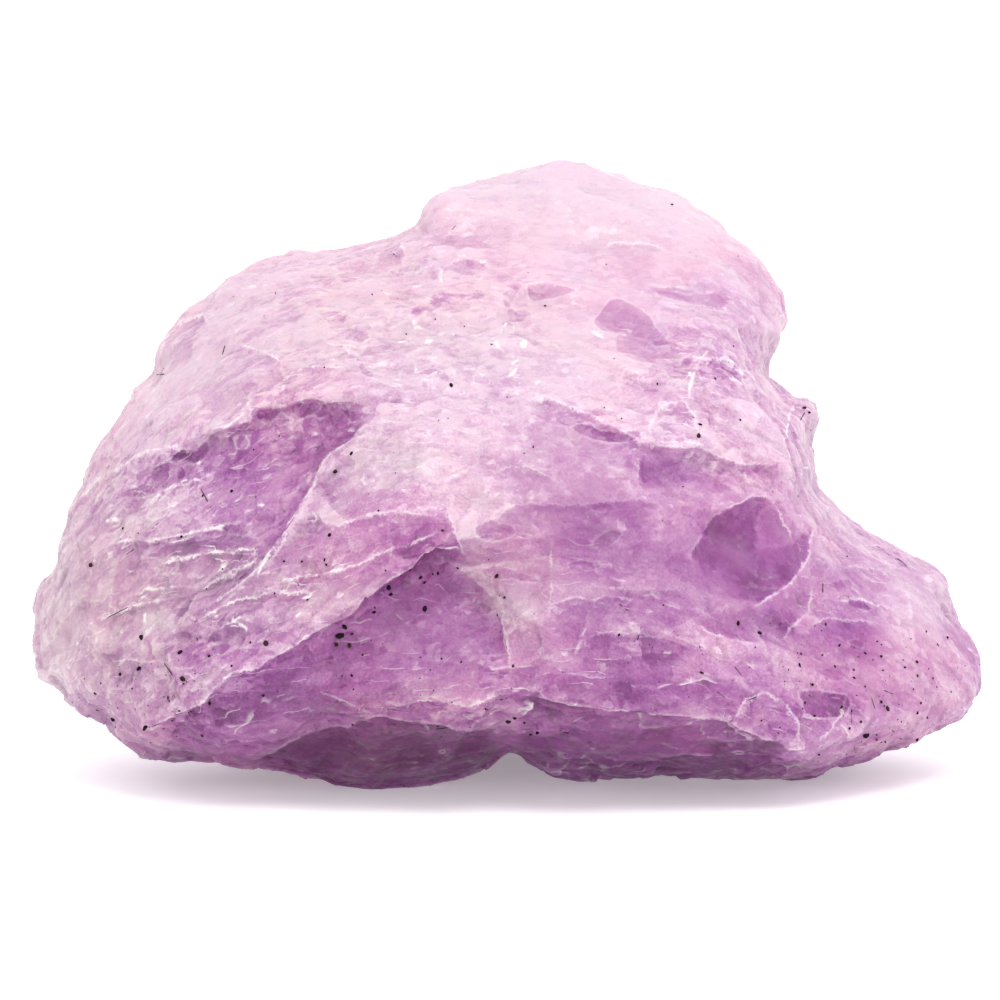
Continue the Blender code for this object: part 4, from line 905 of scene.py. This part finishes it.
def buildStone(material):
    mesh = recut(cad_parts["kunzite_lump"])
    print("recut to", len(mesh.polygons), "faces")
    places, turns = np.zeros((2, len(mesh.vertices) * 3), np.float32)
    mesh.vertices.foreach_get("co", places)
    mesh.vertex_normals.foreach_get("vector", turns)
    across, into, up = places.reshape(-1, 3).T.astype(float)
    turned = turns.reshape(-1, 3)[:, 1]  # -1 faces the front, 1 the back
    drawn = drawLines(edges.values(), across, into, up, turned)
    small = [(*style, [*loop, loop[0]]) for *style, loops in shards.values() for loop in loops]
    small += [(*style, points) for *style, lines in flaws.values() for points in lines]
    for name, values in drawLines(small, across, into, up, turned).items():
        if name in ("drop", "deep", "rough"):
            drawn[name] = drawn[name] + values
        else:
            drawn["shard " + name] = values
    turn, fade = stone["front"]
    facing = np.clip((turn - turned) / fade, 0, 1)
    for name, blobs in zones.items():
        share = 1.0 if name == "swell" else facing
        drawn[name] = drawn.get(name, 0.0) + softZones(across, up, blobs) * share
    drawn["drop"] -= drawn.pop("swell")
    # painted shade along the rim, where the surface turns sideways
    drawn["deep"] += stone["rimShade"] * np.clip((turned + stone["rim"]) / stone["rim"], 0, 1)
    drawn["lively"] = 1.0 - np.minimum(drawn.pop("calm"), 1.0)
    drawn["rough"] = np.minimum(drawn["rough"], 1.0) + stone["backRoughness"] * (1.0 - facing)
    drawn["hidden"] = 1.0 - facing
    for name, values in drawn.items():
        setField(mesh, name, values)
    mesh = throughNodes(mesh, reliefTree(material), stone["relief"])
    print("relief cut")
    grains = buildSpecks(mesh)
    mesh.transform(carvingToTable)
    mesh.shade_smooth()
    return inBox("kunziteStone", mesh), grains


# Its colours: tone 0 is pale pink, 1 is deep purple
tones = dict(
    shades=[
        (0.0, (0.515, 0.35, 0.44)),
        (0.35, (0.372, 0.177, 0.317)),
        (0.75, (0.252, 0.073, 0.23)),
        (1.0, (0.17, 0.036, 0.156)),
        (1.4, (0.098, 0.014, 0.084)),
    ],
    # top and foot make it paler at the top and deeper at the foot: partly the stone's own colour, partly
    # painted light from above
    top=(28.0, 0.04),  # height in mm, and the tone there
    foot=(4.0, 0.42),
    clouds=(0.3, 0.4),  # how much soft clouds change the tone, and how much more at the back
    bulge=-0.2,  # tone for each mm that the surface bulges: painted shade in hollows, paler on bulges
    milk=(0.515, 0.45, 0.475),
    # the white of broken edges, also the colour of the painted glints and highlights
    fracture=(0.69, 0.63, 0.66),
    warm=(1.025, 0.988, 0.975),
    cool=(0.965, 1.0, 1.025),
    hueChange=(2.0, 1.5),  # how much blotches and sugar turn it warm or cool
    dust=(0.965, 1.0, 0.905),
)

# Its grain; sizes are in mm
skin = dict(
    blotch=(1.1, 0.30),  # size, and how much it changes the tone
    sugar=(0.17, 0.45),
    calmest=0.2,  # what a calm zone keeps of those changes
    # how far blotches and sugar bend the sides of drawn edges and of the small faces
    borders={"": (0.5, 0.3), "shard ": (0.25, 0.15)},
    side=(-0.04, 0.06),  # where their darker side, partly painted shade, starts and is full
    line=(0.05, 0.075),  # how far beside them the pale line lies, and its half width
    lineGaps=(0.8, 0.38, 0.54, 0.2),  # unevenness, the noise in a gap and past it, and what is left in a gap
    plate=(0.15, 2.5),  # unevenness of the plates' lips, and how sharply the painted shade under them darkens
    # where a lip ends and is full, in pitches, the noise where it is pale, and how pale; the pale lip is
    # partly a painted highlight
    lip=(0.10, 0.02, 0.48, 0.60, 0.45),
    paneSide=0.2,  # unevenness of the panes' sides
    flake=(0.36, 0.07, 0.35),  # size, share that are bright as painted glints, lean of its face
    flakeSide=0.5,  # unevenness of its sides, in its own size
    flakeTone=0.10,  # spread of the flakes' tones
    flakePatches=(0.45, 0.62, 0.38),  # the noise where the bright ones, painted glints, start and are all there, and how bright
    streaks=((0.7, 1.0, 1.1), 1.8, 0.50, 0.62, 0.20),  # squeeze, size, the noise where they lie, how pale
    paleEdge=(0.015, 0.06, 0.15),  # how far an edge stands out where it turns pale, and how pale; the paleness is partly a painted highlight
    dimmed=(0.75, 0.15, 0.25),  # the tone where whites are faintest and where they are full, and the faintest
    mostMilk=0.9,
    mostWhite=0.82,
    pits=(0.35, 0.00003),  # size in mm, depth in m
    roughness=(0.28, 0.58),
    roughnessSwing=0.15,  # how far the blotches swing between those
    glow=0.35,  # share of the light that goes under the skin
    glowColour=(1.0, 0.65, 1.0),
    glowDepth=0.0022,  # m
)


def stoneMaterial():
    material = bpy.data.materials.new("milky kunzite")
    material.use_nodes = True
    tree = material.node_tree
    tree.nodes.clear()

    def field(name, kind="Fac"):
        return addNode(tree, "ShaderNodeAttribute", attribute_name=name).outputs[kind]

    def grainy(size, detail, shift):
        # three noises about 0, and the vector of them
        vector = noiseOf(tree, place, size, detail, shift, 0.65, output=1)
        vector = vectorCalc(tree, "SUBTRACT", vector, (0.5,) * 3)
        return vector, split(tree, vector)

    back = carvingToTable.inverted()
    place = addNode(tree, "ShaderNodeMapping", {
        "Vector": tree.nodes.new("ShaderNodeTexCoord").outputs["Object"],
        "Location": back.translation, "Rotation": back.to_euler(), "Scale": (1000.0,) * 3,
    }).outputs[0]
    up = split(tree, place)["Z"]
    _, blotch = grainy(skin["blotch"][0], 2.0, (3.0, 8.0, 1.0))
    nudge, sugar = grainy(skin["sugar"][0], 1.0, (7.0, 2.0, 4.0))
    broken = field("broken")
    # how deep the purple is, paler at the top and deeper at the foot partly as painted light and shade, and
    # how white the broken edges are
    (high, highTone), (low, lowTone) = tones["top"], tones["foot"]
    tone = plus(tree, field("deep"), ramp(tree, up, high, low, highTone, lowTone))
    white = 0.0
    beside, halfWidth = skin["line"]
    uneven, gap, past, left = skin["lineGaps"]
    for kind, (bend, jitter) in skin["borders"].items():
        side = plus(tree, plus(tree, field(kind + "side"), blotch[0], bend), sugar[0], jitter)
        tone = plus(tree, tone, ramp(tree, side, *skin["side"]), field(kind + "crisp"))
        line = calc(tree, "DIVIDE", calc(tree, "ADD", side, beside), halfWidth)
        line = calc(tree, "EXPONENT", times(tree, times(tree, line, line), -1.0))
        line = times(tree, line, ramp(tree, plus(tree, broken, blotch[1], uneven), gap, past, left, 1.0))
        white = plus(tree, white, line, field(kind + "pale"))
    front, behind = tones["clouds"]
    tone = plus(tree, tone, minus(tree, field("cloud"), 0.5), plus(tree, front, field("hidden"), behind))
    uneven, sharp = skin["plate"]
    lipEnd, lipStart, gap, past, pale = skin["lip"]
    # plates: painted shade under each lip, and a pale lip that is partly a painted highlight
    for name, (_, _, _, _, amount) in grain["plates"].items():
        part = calc(tree, "FRACT", plus(tree, field(name), blotch[1], uneven))
        share = field(name + "Share")
        tone = plus(tree, tone, times(tree, calc(tree, "POWER", part, sharp), share), amount)
        lip = times(tree, ramp(tree, part, lipEnd, lipStart), ramp(tree, broken, gap, past, 0.0, pale))
        white = plus(tree, white, lip, share)
    normal = tree.nodes.new("ShaderNodeNewGeometry").outputs["Normal"]
    for name, (size, _, lean, _, amount, where) in grain["panes"].items():
        moved = vectorPlus(tree, field(name, "Vector"), nudge, skin["paneSide"] / size)
        lot, strength = paneCell(tree, moved)[0], field(where)
        tone = plus(tree, tone, times(tree, split(tree, lot)["X"], strength), amount)
        normal = vectorCalc(tree, "ADD", normal, vectorTimes(tree, lot, times(tree, strength, lean)))
    arc = field("arc", "Vector")
    size, share, lean = skin["flake"]
    flakes = vectorCalc(tree, "MULTIPLY", arc, (1.0 / size,) * 3)
    lot = paneCell(tree, vectorPlus(tree, flakes, nudge, skin["flakeSide"]))[0]
    parts = split(tree, lot)
    normal = vectorCalc(tree, "ADD", normal, vectorCalc(tree, "MULTIPLY", lot, (lean,) * 3))
    tone = plus(tree, tone, parts["Y"], skin["flakeTone"])
    busy = plus(tree, skin["calmest"], field("lively"), 1.0)
    tone = plus(tree, tone, blotch[2], times(tree, busy, skin["blotch"][1]))
    tone = plus(tree, tone, sugar[1], times(tree, busy, skin["sugar"][1]))
    # painted shade: hollows deeper, bulges paler
    tone = plus(tree, tone, field("bulge"), tones["bulge"])
    light = ramp(tree, tone, *skin["dimmed"], 1.0)
    darkest = tones["shades"][-1][0]
    stops = [(at / darkest, colour) for at, colour in tones["shades"]]
    hue = plus(tree, field("warmth"), field("lavender"))
    for fine, amount in zip((blotch[1], sugar[2]), tones["hueChange"]):
        hue = plus(tree, hue, fine, amount)
    tint = blend(tree, "MIX", clamped(tree, hue), tones["warm"], tones["cool"])
    colour = blend(tree, "MULTIPLY", 1.0, shaded(tree, calc(tree, "DIVIDE", tone, darkest), stops), tint)
    # milk: whitish veils, and edges that stand out, made paler partly as a painted highlight
    stretch, size, gap, past, pale = skin["streaks"]
    streaks = noiseOf(tree, vectorCalc(tree, "MULTIPLY", arc, stretch), size, 3.0, (5.0, 2.0, 1.0), 0.6)
    veil = ramp(tree, streaks, gap, past, 0.0, pale)
    start, full, pale = skin["paleEdge"]
    veil = plus(tree, veil, ramp(tree, field("edge"), start, full, 0.0, pale))
    veil = plus(tree, field("milk"), veil, light)
    colour = blend(tree, "MIX", clamped(tree, veil, skin["mostMilk"]), colour, tones["milk"])
    # white: bright flakes that are painted glints, and broken edges, partly painted highlights
    start, full, pale = skin["flakePatches"]
    bright = ramp(tree, parts["X"], 0.5 - share, 0.51 - share)
    bright = times(tree, bright, ramp(tree, broken, start, full))
    white = plus(tree, white, times(tree, bright, times(tree, busy, light)), pale)
    colour = blend(tree, "MIX", clamped(tree, white, skin["mostWhite"]), colour, tones["fracture"])
    colour = blend(tree, "MULTIPLY", calc(tree, "MINIMUM", field("dusty"), 1.0), colour, tones["dust"])
    pitSize, pitDepth = skin["pits"]
    bump = addNode(tree, "ShaderNodeBump", {
        "Height": noiseOf(tree, place, pitSize, 1.0, (1.0, 2.0, 6.0), 0.65), "Strength": 1.0,
        "Distance": pitDepth, "Normal": vectorCalc(tree, "NORMALIZE", normal),
    })
    swing = skin["roughnessSwing"]
    shader = addNode(tree, "ShaderNodeBsdfPrincipled", {
        "Base Color": colour, "Roughness": ramp(tree, blotch[0], -swing, swing, *skin["roughness"]),
        "Normal": bump.outputs[0], "IOR": 1.5, "Specular IOR Level": 0.35,
        "Subsurface Weight": skin["glow"], "Subsurface Radius": skin["glowColour"],
        "Subsurface Scale": skin["glowDepth"],
    })
    tree.links.new(shader.outputs[0], tree.nodes.new("ShaderNodeOutputMaterial").inputs[0])
    return material


# The table, the light and the camera; sizes are in m where nothing else is said
studio = dict(
    table=(-3.0, 0.8, 3.0),  # front and back edge, and half width
    backdrop=(0.6, 2.5),  # radius of its curve, and height
    floor={
        "Base Color": (0.88, 0.88, 0.88, 1.0),
        "Roughness": 0.9,
        "Emission Color": (1.0, 1.0, 1.0, 1.0),
        "Emission Strength": 0.25,
    },
    skyStrength=1.35,
    keyPlace=(0.06, -0.16, 0.30),
    keyTarget=(0.0, 0.0, 0.015),
    keySize=0.14,
    keyPower=0.62,
    cameraDistance=0.694,
    lens=400.0,  # mm
    sensor=36.0,  # mm
    clip=(0.01, 20.0),
    lookAt=(-0.5, 0.0, 17.75),  # in the carving's frame, mm
)


def buildStudio():
    scene = bpy.context.scene
    scene.view_settings.view_transform = "Standard"
    world = bpy.data.worlds.new("soft room")
    scene.world = world
    world.use_nodes = True
    sky = world.node_tree.nodes["Background"]
    sky.inputs[0].default_value = (1.0, 1.0, 1.0, 1.0)
    sky.inputs[1].default_value = studio["skyStrength"]
    # a pale table whose back edge rises into a backdrop
    (start, end, half), (curve, top) = studio["table"], studio["backdrop"]
    turns = np.radians(range(10, 91, 10))
    profile = [(start, 0.0), (end, 0.0)]
    profile += [(end + curve * math.sin(a), curve - curve * math.cos(a)) for a in turns]
    profile += [(end + curve, top)]
    points = [(x, y, z) for y, z in profile for x in (-half, half)]
    faces = [(2 * i, 2 * i + 1, 2 * i + 3, 2 * i + 2) for i in range(len(profile) - 1)]
    mesh = bpy.data.meshes.new("paleTable")
    mesh.from_pydata(points, [], faces)
    mesh.shade_smooth()
    table = bpy.data.objects.new("paleTable", mesh)
    scene.collection.objects.link(table)
    paint = bpy.data.materials.new("pale table")
    paint.use_nodes = True
    for name, value in studio["floor"].items():
        paint.node_tree.nodes["Principled BSDF"].inputs[name].default_value = value
    mesh.materials.append(paint)
    key = bpy.data.lights.new("key", "AREA")
    key.size = studio["keySize"]
    key.energy = studio["keyPower"]
    lamp = bpy.data.objects.new("key", key)
    lamp.location = studio["keyPlace"]
    lamp.rotation_euler = (Vector(studio["keyTarget"]) - lamp.location).to_track_quat("-Z", "Y").to_euler()
    scene.collection.objects.link(lamp)
    lens = bpy.data.cameras.new("camera")
    lens.lens = studio["lens"]
    lens.sensor_width = studio["sensor"]
    lens.clip_start, lens.clip_end = studio["clip"]
    camera = bpy.data.objects.new("camera", lens)
    lean = math.radians(carving["leanBack"])
    target = carvingToTable @ Vector(studio["lookAt"])
    camera.location = target + Vector((0.0, -math.cos(lean), math.sin(lean))) * studio["cameraDistance"]
    camera.rotation_euler = (target - camera.location).to_track_quat("-Z", "Y").to_euler()
    scene.collection.objects.link(camera)
    scene.camera = camera


stonePiece, speckPiece = buildStone(stoneMaterial())
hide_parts("kunzite_lump")
for piece in (stonePiece, speckPiece):
    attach(piece, "root")
    print(piece.name, "in place:", sum(len(p.vertices) - 2 for p in piece.data.polygons), "triangles")
buildStudio()
print("table, light and camera set")
